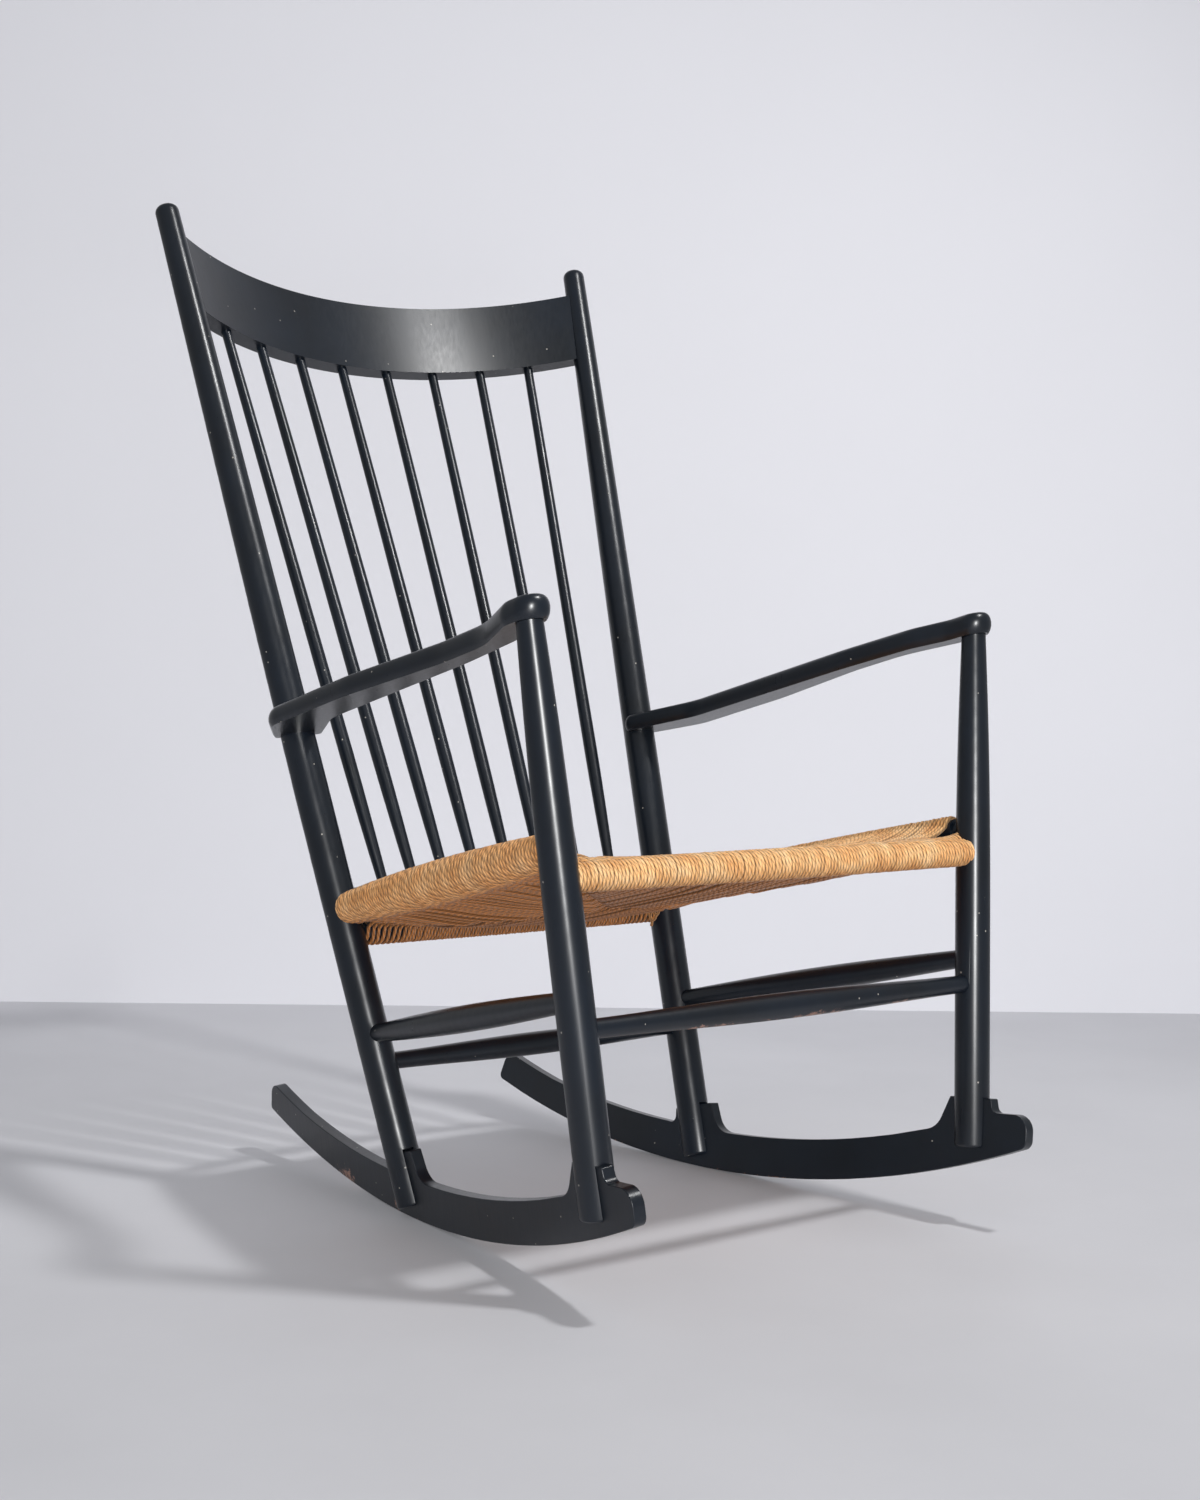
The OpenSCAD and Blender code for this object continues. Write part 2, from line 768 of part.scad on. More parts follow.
// Sockets for all the spindles, in both rails
module spindle_sockets() {
    for (i = [1 : spindle_count]) {
        way = unit(spindle_end(i) - spindle_start(i));
        bar(spindle_start(i) - way * socket_gap, spindle_start(i) + way * 30, spindle_low_d + 2 * socket_gap);
        bar(spindle_end(i) + way * socket_gap, spindle_end(i) - way * 40, spindle_top_d + 2 * socket_gap);
    }
}

// Plan outline of the left arm: round hand, narrow waist and a wide notched rear end
arm_rear = rear_at(arm_under(rear_at(arm_z)[1]));
arm_hand = flat(arm_post);
arm_notch = flat(arm_rear);
arm_notch_r = rear_r(arm_rear[2] - 5);
function arm_outline() =
    rounded(concat([
        concat(arm_hand + [arm_knob_r + 0.5, 16], 24),
        concat(arm_hand + [-9.5, 85], 90),
        concat(arm_hand + [-9.5, 155], 150),
        concat(arm_notch + [60.5, -185], 150),
        concat(arm_notch + [62.5, -46], 45),
        concat(arm_notch + [19.5, 20], 9),
        concat(arm_notch + [-27.5, -4], 8),
        concat(arm_notch + [8.5, -86], 60),
        concat(arm_hand + [-42.5, 150], 300),
        concat(arm_hand + [-34.5, 58], 60),
        concat(arm_hand + [-arm_knob_r - 0.5, 20], 24)
    ], [
        for (a = [-80 : 20 : 80])
            concat(arm_hand + arm_knob_r * [sin(a), -cos(a)], 0)
    ]), 5);

// Triangles that close an outline from its tip at l and r: each rung goes to the nearer of the next points
function rungs(points, l, r) =
    let (
        count = len(points),
        next_l = (l + 1) % count,
        next_r = (r + count - 1) % count
    )
    next_l == r ? []
        : points[next_l][1] < points[next_r][1]
            ? concat([[l, next_l, r]], rungs(points, next_l, r))
            : concat([[l, next_r, r]], rungs(points, l, next_r));

// Rings of the arm, from the underside's edge over the bulging side to the top
arm_ring_angles = [-55, -28, 0, 25, 48, 70, 90];
function arm_thickness(y) =
    mix(arm_front_t, arm_rear_t, (y - arm_hand[1]) / (arm_notch[1] - arm_hand[1]));
function inward(points, i) =
    let (
        count = len(points),
        way = unit(points[(i + 1) % count] - points[(i + count - 1) % count])
    )
    [-way[1], way[0]];
function arm_ring(points, angle) = [
    for (i = [0 : len(points) - 1])
        let (
            p = points[i] + inward(points, i) * arm_round * (1 - cos(angle)),
            lift = (sin(angle) - sin(arm_ring_angles[0])) / (1 - sin(arm_ring_angles[0]))
        )
        [p[0], p[1], arm_under(p[1]) + arm_thickness(p[1]) * lift]
];

// Arm with its socket on the front post and its notch round the rear post
module arm() {
    points = arm_outline();
    count = len(points);
    rings = len(arm_ring_angles);
    tip = count - 5;
    cap = rungs(points, tip, tip - 1);
    color(lacquer)
        difference() {
            polyhedron(
                points = [for (a = arm_ring_angles) each arm_ring(points, a)],
                faces = concat(
                    cap,
                    [for (r = [0 : rings - 2]) for (i = [0 : count - 1])
                        let (j = (i + 1) % count)
                        each [
                            [r * count + i, (r + 1) * count + i, (r + 1) * count + j],
                            [r * count + i, (r + 1) * count + j, r * count + j]
                        ]
                    ],
                    [for (t = cap) [for (k = [2 : -1 : 0]) (rings - 1) * count + t[k]]]
                )
            );
            arm_tenon(socket_gap);
            bar(rear_at(arm_rear[2] - 80), rear_at(arm_rear[2] + 80), 2 * (arm_notch_r + socket_gap));
        }
}

// Half width of the seat's frame at this Y, on the side rails' axes
seat_front_y = front_rail_end[1];
seat_rear_y = rear_rail_end[1];
function seat_share(y) = (y - seat_front_y) / (seat_rear_y - seat_front_y);
function seat_half(y) = mix(front_rail_end[0], rear_rail_end[0], seat_share(y));

// Middle surface of the weave: level with the nearer rail, and sagging between the rails
side_lift_front = side_rail_front_z - front_rail_z;
side_lift_rear = side_rail_rear_z - rear_rail_z;
function seat_mid(x, y) =
    let (
        share = seat_share(y),
        from_end = min(y - seat_front_y, seat_rear_y - y),
        from_side = seat_half(y) - abs(x),
        lift = mix(side_lift_front, side_lift_rear, share),
        pull = (from_end + 0.01) / (from_end + from_side + 0.02)
    )
    mix(front_rail_z, rear_rail_z, share) + lift * pull
    - seat_sag * ease(min(from_end, from_side) / (seat_half(y) * 0.8));

// Woven panel between the rails, on a regular grid
seat_cells = 18;
module seat_panel() {
    n = seat_cells + 1;
    grid = [for (side = [-1, 1]) for (j = [0 : seat_cells]) for (i = [0 : seat_cells])
        let (
            y = mix(seat_front_y, seat_rear_y, j / seat_cells),
            x = seat_half(y) * (2 * i / seat_cells - 1)
        )
        [x, y, seat_mid(x, y) + side * seat_t / 2]
    ];
    function at(side, i, j) = (side * n + j) * n + i;
    rim = concat(
        [for (i = [0 : seat_cells - 1]) [i, 0]],
        [for (j = [0 : seat_cells - 1]) [seat_cells, j]],
        [for (i = [seat_cells : -1 : 1]) [i, seat_cells]],
        [for (j = [seat_cells : -1 : 1]) [0, j]]
    );
    polyhedron(
        points = grid,
        faces = concat(
            [for (j = [0 : seat_cells - 1]) for (i = [0 : seat_cells - 1]) each [
                [at(0, i, j), at(0, i + 1, j), at(0, i + 1, j + 1)],
                [at(0, i, j), at(0, i + 1, j + 1), at(0, i, j + 1)],
                [at(1, i, j), at(1, i + 1, j + 1), at(1, i + 1, j)],
                [at(1, i, j), at(1, i, j + 1), at(1, i + 1, j + 1)]
            ]],
            [for (k = [0 : len(rim) - 1])
                let (a = rim[k], b = rim[(k + 1) % len(rim)])
                each [
                    [at(0, a[0], a[1]), at(1, a[0], a[1]), at(1, b[0], b[1])],
                    [at(0, a[0], a[1]), at(1, b[0], b[1]), at(0, b[0], b[1])]
                ]
            ]
        )
    );
}

// Rails of the seat's frame, grown by this much: their cord or the room that they need
module frame_rails(grow) {
    rail_body(
        mirrored(front_rail_end), front_rail_end,
        front_rail_start, front_rail_start, seat_rail_d + 2 * grow
    );
    rail_body(
        mirrored(rear_rail_end), rear_rail_end,
        rear_rail_start, rear_rail_start, seat_rail_d + 2 * grow
    );
    side_rail_body(grow);
    on_right() side_rail_body(grow);
}
module side_rail_body(grow) {
    rail_body(
        side_rail_ends[0], side_rail_ends[1],
        side_rail_rear_start, side_rail_front_start, side_rail_d + 2 * grow
    );
}

// Woven seat: four wound rails and the panel, clear of the wood
module woven_seat() {
    color(cord_colour)
        difference() {
            union() {
                seat_panel();
                frame_rails(cord_gap + cord_d);
            }
            bar(mirrored(front_rail_end), front_rail_end, seat_rail_d + 2 * cord_gap);
            bar(mirrored(rear_rail_end), rear_rail_end, seat_rail_d + 2 * cord_gap);
            bar(side_rail_ends[0], side_rail_ends[1], side_rail_d + 2 * cord_gap);
            on_right() bar(side_rail_ends[0], side_rail_ends[1], side_rail_d + 2 * cord_gap);
            post_room();
            on_right() post_room();
        }
}

// Room for the posts at seat height, grown by the cord's gap
module post_room() {
    reach = 60;
    bar(
        rear_at(rear_rail_z - reach), rear_at(side_rail_rear_z + reach),
        rear_post_d + 2 * cord_gap
    );
    bar(
        front_at(front_rail_z - reach), front_at(side_rail_front_z + reach),
        front_post_d + 2 * cord_gap
    );
}

// Moves the chair from its upright drawing pose to its rest pose, centred on the origin
function rested(p) =
    let (
        y = p[1] - rocker_y,
        z = p[2] - rocker_r
    )
    [
        p[0],
        rocker_y + y * cos(rest_tilt) + z * sin(rest_tilt),
        rocker_r + z * cos(rest_tilt) - y * sin(rest_tilt)
    ];
nose_tip = rested([0, rocker_y - nose_reach * cos(runner_toe), front_shoulder_z - 30]);
crest_back = rested(from_crest_frame([0, crest_t / 2, crest_h / 2 - crest_arch]));
module at_rest() {
    translate([0, -(nose_tip[1] + crest_back[1]) / 2, 0])
        translate([0, rocker_y, rocker_r])
            rotate([-rest_tilt, 0, 0]) translate([0, -rocker_y, -rocker_r]) children();
}

at_rest() runner();  // runner_left
at_rest() on_right() runner();  // runner_right
at_rest() rear_post();  // rear_post_left
at_rest() on_right() rear_post();  // rear_post_right
at_rest() front_post();  // front_post_left
at_rest() on_right() front_post();  // front_post_right
at_rest() arm();  // arm_left
at_rest() on_right() arm();  // arm_right
at_rest() crest_rail();
at_rest() lower_back_rail();
for (i = [1 : spindle_count]) {
    at_rest() spindle(i);
}
at_rest() front_seat_rail();  // seat_rail_front
at_rest() rear_seat_rail();  // seat_rail_rear
at_rest() side_seat_rail();  // seat_rail_left
at_rest() on_right() side_seat_rail();  // seat_rail_right
at_rest() front_stretcher();  // stretcher_front
at_rest() rear_stretcher();  // stretcher_rear
at_rest() side_stretcher();  // stretcher_left
at_rest() on_right() side_stretcher();  // stretcher_right
at_rest() woven_seat();
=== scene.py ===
import bpy
import bmesh
import numpy as np
from mathutils import Matrix, Vector


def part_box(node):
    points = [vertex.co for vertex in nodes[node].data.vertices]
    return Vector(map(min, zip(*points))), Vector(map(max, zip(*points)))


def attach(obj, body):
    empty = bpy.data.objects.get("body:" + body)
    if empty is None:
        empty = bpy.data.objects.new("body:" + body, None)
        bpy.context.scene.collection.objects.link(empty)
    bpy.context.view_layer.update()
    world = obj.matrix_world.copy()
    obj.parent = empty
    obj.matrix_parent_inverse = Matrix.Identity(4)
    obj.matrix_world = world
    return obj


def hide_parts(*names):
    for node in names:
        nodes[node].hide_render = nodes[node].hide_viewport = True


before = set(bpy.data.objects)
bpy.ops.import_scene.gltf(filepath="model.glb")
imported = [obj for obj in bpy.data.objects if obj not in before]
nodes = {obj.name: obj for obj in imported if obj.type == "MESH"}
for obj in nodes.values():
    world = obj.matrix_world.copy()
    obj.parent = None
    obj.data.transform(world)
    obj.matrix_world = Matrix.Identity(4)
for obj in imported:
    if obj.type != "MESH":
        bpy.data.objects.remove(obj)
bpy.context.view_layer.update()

# The four posts are turned from wood: the rear ones are thickest at the seat and thin at the top, the front
# ones taper up to the arms. Like the whole frame they wear a sprayed black lacquer. Each is the CAD's solid
# with its doubles merged, shaded smooth, and with its sharp edges just broken.
POST_EDGE = 0.0007
SHARP = np.radians(30.0)
DOUBLES_APART, NEARLY_FLAT = 2e-6, 0.0035


def srgb(hexa):
    """Linear RGBA of a hex sRGB colour: c / 12.92 up to 0.04045, and ((c + 0.055) / 1.055) ** 2.4 above."""
    c = np.array([int(hexa[i:i + 2], 16) for i in (0, 2, 4)]) / 255.0
    lin = np.where(c <= 0.04045, c / 12.92, ((c + 0.055) / 1.055) ** 2.4)
    return (*lin.tolist(), 1.0)


def every(mm):
    """Scale of a pattern on Object coordinates, which are metres, for one repeat in this many mm."""
    return 1000.0 / mm


def add(tree, kind, values=None, links=None, stops=(), **settings):
    """One node with its settings, socket values, links {input: output} and colour stops (place, colour)."""
    n = tree.nodes.new(kind)
    for key, value in settings.items():
        setattr(n, key, value)
    for key, value in (values or {}).items():
        n.inputs[key].default_value = value
    for key, output in (links or {}).items():
        tree.links.new(output, n.inputs[key])
    if stops:
        ends = n.color_ramp.elements
        ends[0].position, ends[0].color = stops[0]
        ends[1].position, ends[1].color = stops[-1]
        for place, colour in stops[1:-1]:
            ends.new(place).color = colour
    return n


def material(name):
    """New material with its node tree and its Principled BSDF."""
    m = bpy.data.materials.new(name)
    m.use_nodes = True
    return m, m.node_tree, m.node_tree.nodes["Principled BSDF"]


def lacquer(name, smooth, dull, worn=False):
    """Sprayed black lacquer of roughness smooth to dull; worn breaks it up by the attribute "wear"."""
    m, t, p = material(name)
    place = add(t, "ShaderNodeTexCoord").outputs["Object"]

    # A nearly black coat with a faint blue cast, in clouds as broad as a hand
    cloud = add(t, "ShaderNodeTexNoise", {"Scale": every(111.1), "Detail": 5.0, "Roughness": 0.6},
                {"Vector": place})
    tone = add(t, "ShaderNodeValToRGB", links={"Fac": cloud.outputs["Fac"]},
               stops=[(0.3, srgb("080d13")), (0.7, srgb("0e1620"))])

    # The wood's grain under the coat, 4 mm across and 70 mm long, which only just shows in the highlights
    streaks = add(t, "ShaderNodeMapping", {"Scale": (every(3.846), every(3.846), every(71.43))},
                  {"Vector": place})
    grain = add(t, "ShaderNodeTexNoise", {"Scale": 1.0, "Detail": 3.0},
                {"Vector": streaks.outputs["Vector"]})
    rough = add(t, "ShaderNodeValToRGB", links={"Fac": grain.outputs["Fac"]},
                stops=[(0.25, (smooth, smooth, smooth, 1)), (0.8, (dull, dull, dull, 1))])

    # White specks of old paint, with a radius of 0.9 mm, in some of the pattern's cells of 12.5 mm
    cell = add(t, "ShaderNodeTexVoronoi", {"Scale": every(12.5), "Randomness": 1.0}, {"Vector": place})
    rare = add(t, "ShaderNodeMath", {1: 0.62}, {0: cell.outputs["Color"]}, operation="GREATER_THAN")
    small = add(t, "ShaderNodeMath", {1: 0.07}, {0: cell.outputs["Distance"]}, operation="LESS_THAN")
    speck = add(t, "ShaderNodeMath", links={0: rare.outputs[0], 1: small.outputs[0]}, operation="MULTIPLY")
    thin = add(t, "ShaderNodeMath", {1: 0.75}, {0: speck.outputs[0]}, operation="MULTIPLY")
    spotted = add(t, "ShaderNodeMix", {"B": srgb("a9a49c")},
                  {"Factor": thin.outputs[0], "A": tone.outputs["Color"]}, data_type="RGBA")
    colour = spotted.outputs["Result"]

    # Pinkish bare wood where "wear" lifts flakes of 7 mm, gathered in patches of 70 mm, over the level
    if worn:
        wear = add(t, "ShaderNodeAttribute", attribute_name="wear")
        flakes = add(t, "ShaderNodeTexNoise", {"Scale": every(6.667), "Detail": 6.0, "Roughness": 0.7},
                     {"Vector": place})
        patches = add(t, "ShaderNodeTexNoise", {"Scale": every(71.43), "Detail": 2.0}, {"Vector": place})
        both = add(t, "ShaderNodeMath", links={0: flakes.outputs["Fac"], 1: patches.outputs["Fac"]},
                   operation="ADD")
        level = add(t, "ShaderNodeMath", {1: 1.48}, {0: both.outputs[0]}, operation="SUBTRACT")
        over = add(t, "ShaderNodeMath", links={0: level.outputs[0], 1: wear.outputs["Fac"]},
                   operation="ADD")
        mask = add(t, "ShaderNodeMapRange", {"From Min": 0.02, "From Max": 0.09},
                   {"Value": over.outputs[0]})
        bare = add(t, "ShaderNodeValToRGB", links={"Fac": flakes.outputs["Fac"]},
                   stops=[(0.35, srgb("5d4036")), (0.65, srgb("9a7565"))])
        shown = add(t, "ShaderNodeMix", links={"Factor": mask.outputs["Result"], "A": colour,
                                               "B": bare.outputs["Color"]}, data_type="RGBA")
        colour = shown.outputs["Result"]

    bump = add(t, "ShaderNodeBump", {"Strength": 0.06, "Distance": 0.0004},
               {"Height": grain.outputs["Fac"]})
    t.links.new(colour, p.inputs["Base Color"])
    t.links.new(rough.outputs["Color"], p.inputs["Roughness"])
    t.links.new(bump.outputs["Normal"], p.inputs["Normal"])
    p.inputs["IOR"].default_value = 1.5
    return m


def finished(name, coat, edge=0.0, segments=3):
    """The CAD's piece with doubles merged, shaded smooth, lacquered, and its edges rounded this wide in m."""
    mesh = nodes[name].data.copy()
    mesh.name = name + "_finished"
    bm = bmesh.new()
    bm.from_mesh(mesh)
    bmesh.ops.remove_doubles(bm, verts=bm.verts, dist=DOUBLES_APART)
    bmesh.ops.dissolve_limit(bm, angle_limit=NEARLY_FLAT, verts=bm.verts, edges=bm.edges)
    bm.to_mesh(mesh)
    bm.free()
    if "custom_normal" in mesh.attributes:
        mesh.attributes.remove(mesh.attributes["custom_normal"])
    mesh.shade_smooth()
    mesh.set_sharp_from_angle(angle=SHARP)
    mesh.materials.clear()
    mesh.materials.append(coat)
    o = bpy.data.objects.new(mesh.name, mesh)
    bpy.context.scene.collection.objects.link(o)
    if edge:
        bevel = o.modifiers.new("edges", "BEVEL")
        bevel.width = edge
        bevel.segments = segments
        bevel.limit_method = "ANGLE"
        bevel.angle_limit = SHARP
    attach(o, "root")
    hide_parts(name)
    return o


black = lacquer("black_lacquer", 0.27, 0.33)
for side in ("left", "right"):
    finished("rear_post_" + side, black, POST_EDGE)
    finished("front_post_" + side, black, POST_EDGE)

# The two runners are flat boards sawn to the rolling arc, their edges rounded by hand before the lacquer.
# Floors and shoes have rubbed them bare on their soles and round their noses.
RUNNER_EDGE = 0.004

# Strength and reach of the wear in m, with the nose's place behind the board's front and above the floor
NOSE_WEAR, NOSE_BACK, NOSE_HEIGHT, NOSE_REACH = 0.62, 0.015, 0.032, 0.03
SOLE_WEAR, SOLE_HEIGHT = 0.36, 0.012


def points_of(o):
    """Vertices of a piece, in m, as an array (n, 3)."""
    co = np.empty(len(o.data.vertices) * 3)
    o.data.vertices.foreach_get("co", co)
    return co.reshape(-1, 3)


def mark(o, name, values):
    """Point attribute of this name with one value for each vertex."""
    att = o.data.attributes.new(name, "FLOAT", "POINT")
    att.data.foreach_set("value", values.astype(np.float32))


black_worn = lacquer("black_lacquer_worn", 0.28, 0.36, worn=True)
for side in ("left", "right"):
    runner = finished("runner_" + side, black_worn, RUNNER_EDGE, segments=5)
    lo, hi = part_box("runner_" + side)
    y, z = points_of(runner).T[1:]
    from_nose = np.hypot(y - lo[1] - NOSE_BACK, z - NOSE_HEIGHT)
    mark(runner, "wear", NOSE_WEAR * np.exp(-from_nose / NOSE_REACH) + SOLE_WEAR * (z < SOLE_HEIGHT))

# The seat rails are straight round bars, hidden by the cord that is wound on them, and the stretchers are
# turned with a long swell. The front one is rubbed bare along its underside, where heels hit it.
HEEL_WEAR, HEEL_FADE = 0.46, 0.01

for place in ("left", "right", "front", "rear"):
    finished("seat_rail_" + place, black)
for place in ("left", "right", "rear"):
    finished("stretcher_" + place, black)
front = finished("stretcher_front", black_worn)
lo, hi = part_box("stretcher_front")
below = (lo[2] + hi[2]) / 2 - points_of(front)[:, 2]
mark(front, "wear", HEEL_WEAR * np.clip(below / HEEL_FADE, 0, 1))

# The back is eight slender turned spindles between a bent round bar and the crest rail, a bent board whose
# sanded edges are rounder than the posts'. Its flat front took the spray a little duller.
CREST_EDGE = 0.0022

black_board = lacquer("black_lacquer_board", 0.3, 0.36)
finished("crest_rail", black_board, CREST_EDGE, segments=4)
finished("lower_back_rail", black)
for number in range(1, 9):
    finished("spindle_%d" % number, black)

# The arms are carved from a plank: a round hand over the front post, a waist, and a broad end that grips the
# rear post in a notch. Rings over their rounded plan give the bulging side and the soft top edge.

# The posts' axes at the left arm's hand and notch, and the arm's heights, radii and slope, in mm
HAND, NOTCH = np.array([280.271, -278.487]), np.array([229.637, 195.6])
HAND_UNDER, ARM_FALL = 570.6, np.radians(10.2)
HAND_THICK, NOTCH_THICK = 21.5, 18.5
KNOB_R, SIDE_BULGE, TOP_INSET = 18.0, 7.5, 1.2
OUTLINE_POINTS, CORNER_STEPS = 420, 14
ARM_SHARP = np.radians(40)

# New pieces are drawn in mm in the drawing's pose, with the runners' rolling axis at ROCK_Y and ROCK_R, and
# then turned to the pose in which the empty chair rests.
REST_TILT, ROCK_Y, ROCK_R, SHIFT_Y = np.radians(2.87), 7.0, 1070.0, -17.625


def rested(p):
    """Drawing pose in mm to rest pose in m: a turn of -REST_TILT about the rolling axis, then the shift."""
    p = np.asarray(p, float)
    y, z = p[..., 1] - ROCK_Y, p[..., 2] - ROCK_R
    c, s = np.cos(REST_TILT), np.sin(REST_TILT)
    return np.stack([p[..., 0], ROCK_Y + y * c + z * s + SHIFT_Y, ROCK_R + z * c - y * s], -1) / 1000.0


def new_piece(name, verts, faces, mat, uv=None):
    """Smooth mesh object from vertices (n, 3) in m, lists of faces and uv (n, 2), riding on the chair."""
    mesh = bpy.data.meshes.new(name)
    mesh.from_pydata(verts.tolist(), [], faces)
    mesh.shade_smooth()
    if uv is not None:
        layer = mesh.uv_layers.new(name="UVMap")
        loops = np.empty(len(mesh.loops), dtype=np.int32)
        mesh.loops.foreach_get("vertex_index", loops)
        layer.data.foreach_set("uv", uv[loops].astype(np.float32).ravel())
    mesh.materials.append(mat)
    mesh.validate()
    mesh.update()
    o = bpy.data.objects.new(name, mesh)
    bpy.context.scene.collection.objects.link(o)
    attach(o, "root")
    return o


def fillet(a, b, c, r):
    """Arc of radius r that rounds corner b between a and c: points centre + r unit(mix(from, to))."""
    p, q = (a - b) / np.linalg.norm(a - b), (c - b) / np.linalg.norm(c - b)
    half = np.arccos(p @ q) / 2
    centre = b + (p + q) / np.linalg.norm(p + q) * r / np.sin(half)
    u, v = b + p * r / np.tan(half) - centre, b + q * r / np.tan(half) - centre
    t = np.linspace(0, 1, CORNER_STEPS + 1)[:, None]
    w = u * (1 - t) + v * t
    return centre + r * w / np.linalg.norm(w, axis=1)[:, None]


def arm_outline():
    """The left arm's plan (n, 2), evenly spaced along its corners (place, radius) and its round hand."""
    corners = [
        (HAND + [KNOB_R + 0.5, 16], 24), (HAND + [-9.5, 85], 90), (HAND + [-9.5, 155], 150),
        (NOTCH + [60.5, -185], 150), (NOTCH + [62.5, -46], 45), (NOTCH + [19.5, 20], 9),
        (NOTCH + [-27.5, -4], 8), (NOTCH + [8.5, -86], 60), (HAND + [-42.5, 150], 300),
        (HAND + [-34.5, 58], 60), (HAND + [-KNOB_R - 0.5, 20], 24)]
    round_hand = np.radians(np.arange(-84, 85, 6))
    corners += [(HAND + KNOB_R * np.array([np.sin(a), -np.cos(a)]), 0) for a in round_hand]
    outline = []
    for i, (corner, radius) in enumerate(corners):
        before, after = corners[i - 1][0], corners[(i + 1) % len(corners)][0]
        outline.extend(fillet(before, corner, after, radius) if radius else [corner])
    closed = np.array(outline + outline[:1])
    run = np.concatenate([[0], np.cumsum(np.linalg.norm(np.diff(closed, axis=0), axis=1))])
    at = np.linspace(0, run[-1], OUTLINE_POINTS, endpoint=False)
    return np.stack([np.interp(at, run, closed[:, k]) for k in (0, 1)], -1)


def arm_rings():
    """Rings (rings, n, 3) from the underside to the top, in the drawing's pose.

    Each ring is the outline moved inwards by SIDE_BULGE (1 - cos(a)) and raised by the share of the
    thickness that sin(a) has reached since the second angle. Two more rings on top soften the edge.
    """
    outline = arm_outline()
    way = np.roll(outline, -1, 0) - np.roll(outline, 1, 0)
    way /= np.linalg.norm(way, axis=1)[:, None]
    inwards = np.stack([-way[:, 1], way[:, 0]], -1)
    angles = np.radians([-58, -55, -45, -30, -12, 8, 26, 42, 56, 68, 79, 90])[:, None, None]
    plan = outline + inwards * SIDE_BULGE * (1 - np.cos(angles))
    lift = (np.sin(angles) - np.sin(angles[1])) / (1 - np.sin(angles[1]))
    back = plan[..., 1] - HAND[1]
    thick = HAND_THICK + (NOTCH_THICK - HAND_THICK) * back / (NOTCH[1] - HAND[1])
    height = HAND_UNDER - back * np.tan(ARM_FALL) + thick * np.maximum(lift[..., 0], 0)
    rings = np.concatenate([plan, height[..., None]], -1)
    step = np.column_stack([inwards, np.zeros(len(inwards))]) * TOP_INSET
    return np.concatenate([rings, [rings[-1] + step, rings[-1] + step * 2]])


rings = arm_rings()
here = np.arange(OUTLINE_POINTS)
after = (here + 1) % OUTLINE_POINTS
row = np.arange(len(rings) - 1)[:, None] * OUTLINE_POINTS
above = row + OUTLINE_POINTS
quads = np.stack([row + here, row + after, above + after, above + here], -1).reshape(-1, 4)
arm_faces = quads.tolist() + [here[::-1].tolist(), (above[-1] + here).tolist()]
for side, sign in (("left", 1), ("right", -1)):
    arm = new_piece("arm_%s_carved" % side, rested(rings.reshape(-1, 3) * [sign, 1, 1]),
                    [face[::sign] for face in arm_faces], black)
    arm.data.set_sharp_from_angle(angle=ARM_SHARP)
    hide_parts("arm_" + side)

# The seat is wound with paper cord, three plies twisted together and about 4 mm thick. Each turn runs from
# a seam on the underside, round a rail and back over the top to a seam, where it dives between others.

# FRONT and REAR are the left posts' axes at the height of the rails, and SIDE_R to SIDE_F is the left rail's
FRONT, REAR = np.array([261.233, -287.988, 353.0]), np.array([212.184, 136.396, 281.0])
SIDE_R, SIDE_F = np.array([214.284, 143.519, 305.0]), np.array([263.333, -286.94, 377.0])
SIDE_RISE, SAG, SAG_SHARE = 24.0, 8.0, 0.8
CORD, PLIES, LAY = 4.2, 3, 22.0

# Points of a strand: SPAN under the seat, ROUND round the rail, and SPAN over the seat
SPAN, ROUND = 18, 13

# Half the weave's thickness, how far the lower layer hangs in the middle and how far it is drawn up beside
# the rear rail, each with its span
HALF_WEAVE = 12.0
HANG, HANG_SPAN = 5.0, 90.0
DRAWN_UP, DRAWN_SPAN, DRAWN_START = 10.0, 50.0, 20.0

# A strand leaves its rail's height over LEAVE and dives at its far end. It wanders along the rail in a slow
# and a quick wave, and the lower layer is wound less evenly than the top
LEAVE, DIVE, DIVE_SPAN = 22.0, 3.0, 3.0
WANDER_START, WANDER_SPAN = 40.0, 230.0
SLOW_WAVE, SLOW_TURN, QUICK_WAVE, QUICK_TURN = 0.7, 3.1, 0.35, 9.0
UNEVEN_UNDER, UNEVEN_TOP = 0.9, 0.25
UNEVEN_GAP, UNEVEN_RADIUS = 0.06, 0.12

# Points lie closer together beside the rail by this power, and each strand's twist starts within this many m
CLOSER, TWIST_START = 1.15, 0.05

# Seams meet on a short ridge across the seat's middle, and the last turns beside a post slip inwards
RIDGE_X, RIDGE_Y = 40, -75.0
SLIP, SLIP_SPAN = 4.0, 3.5

rng = np.random.default_rng(7)


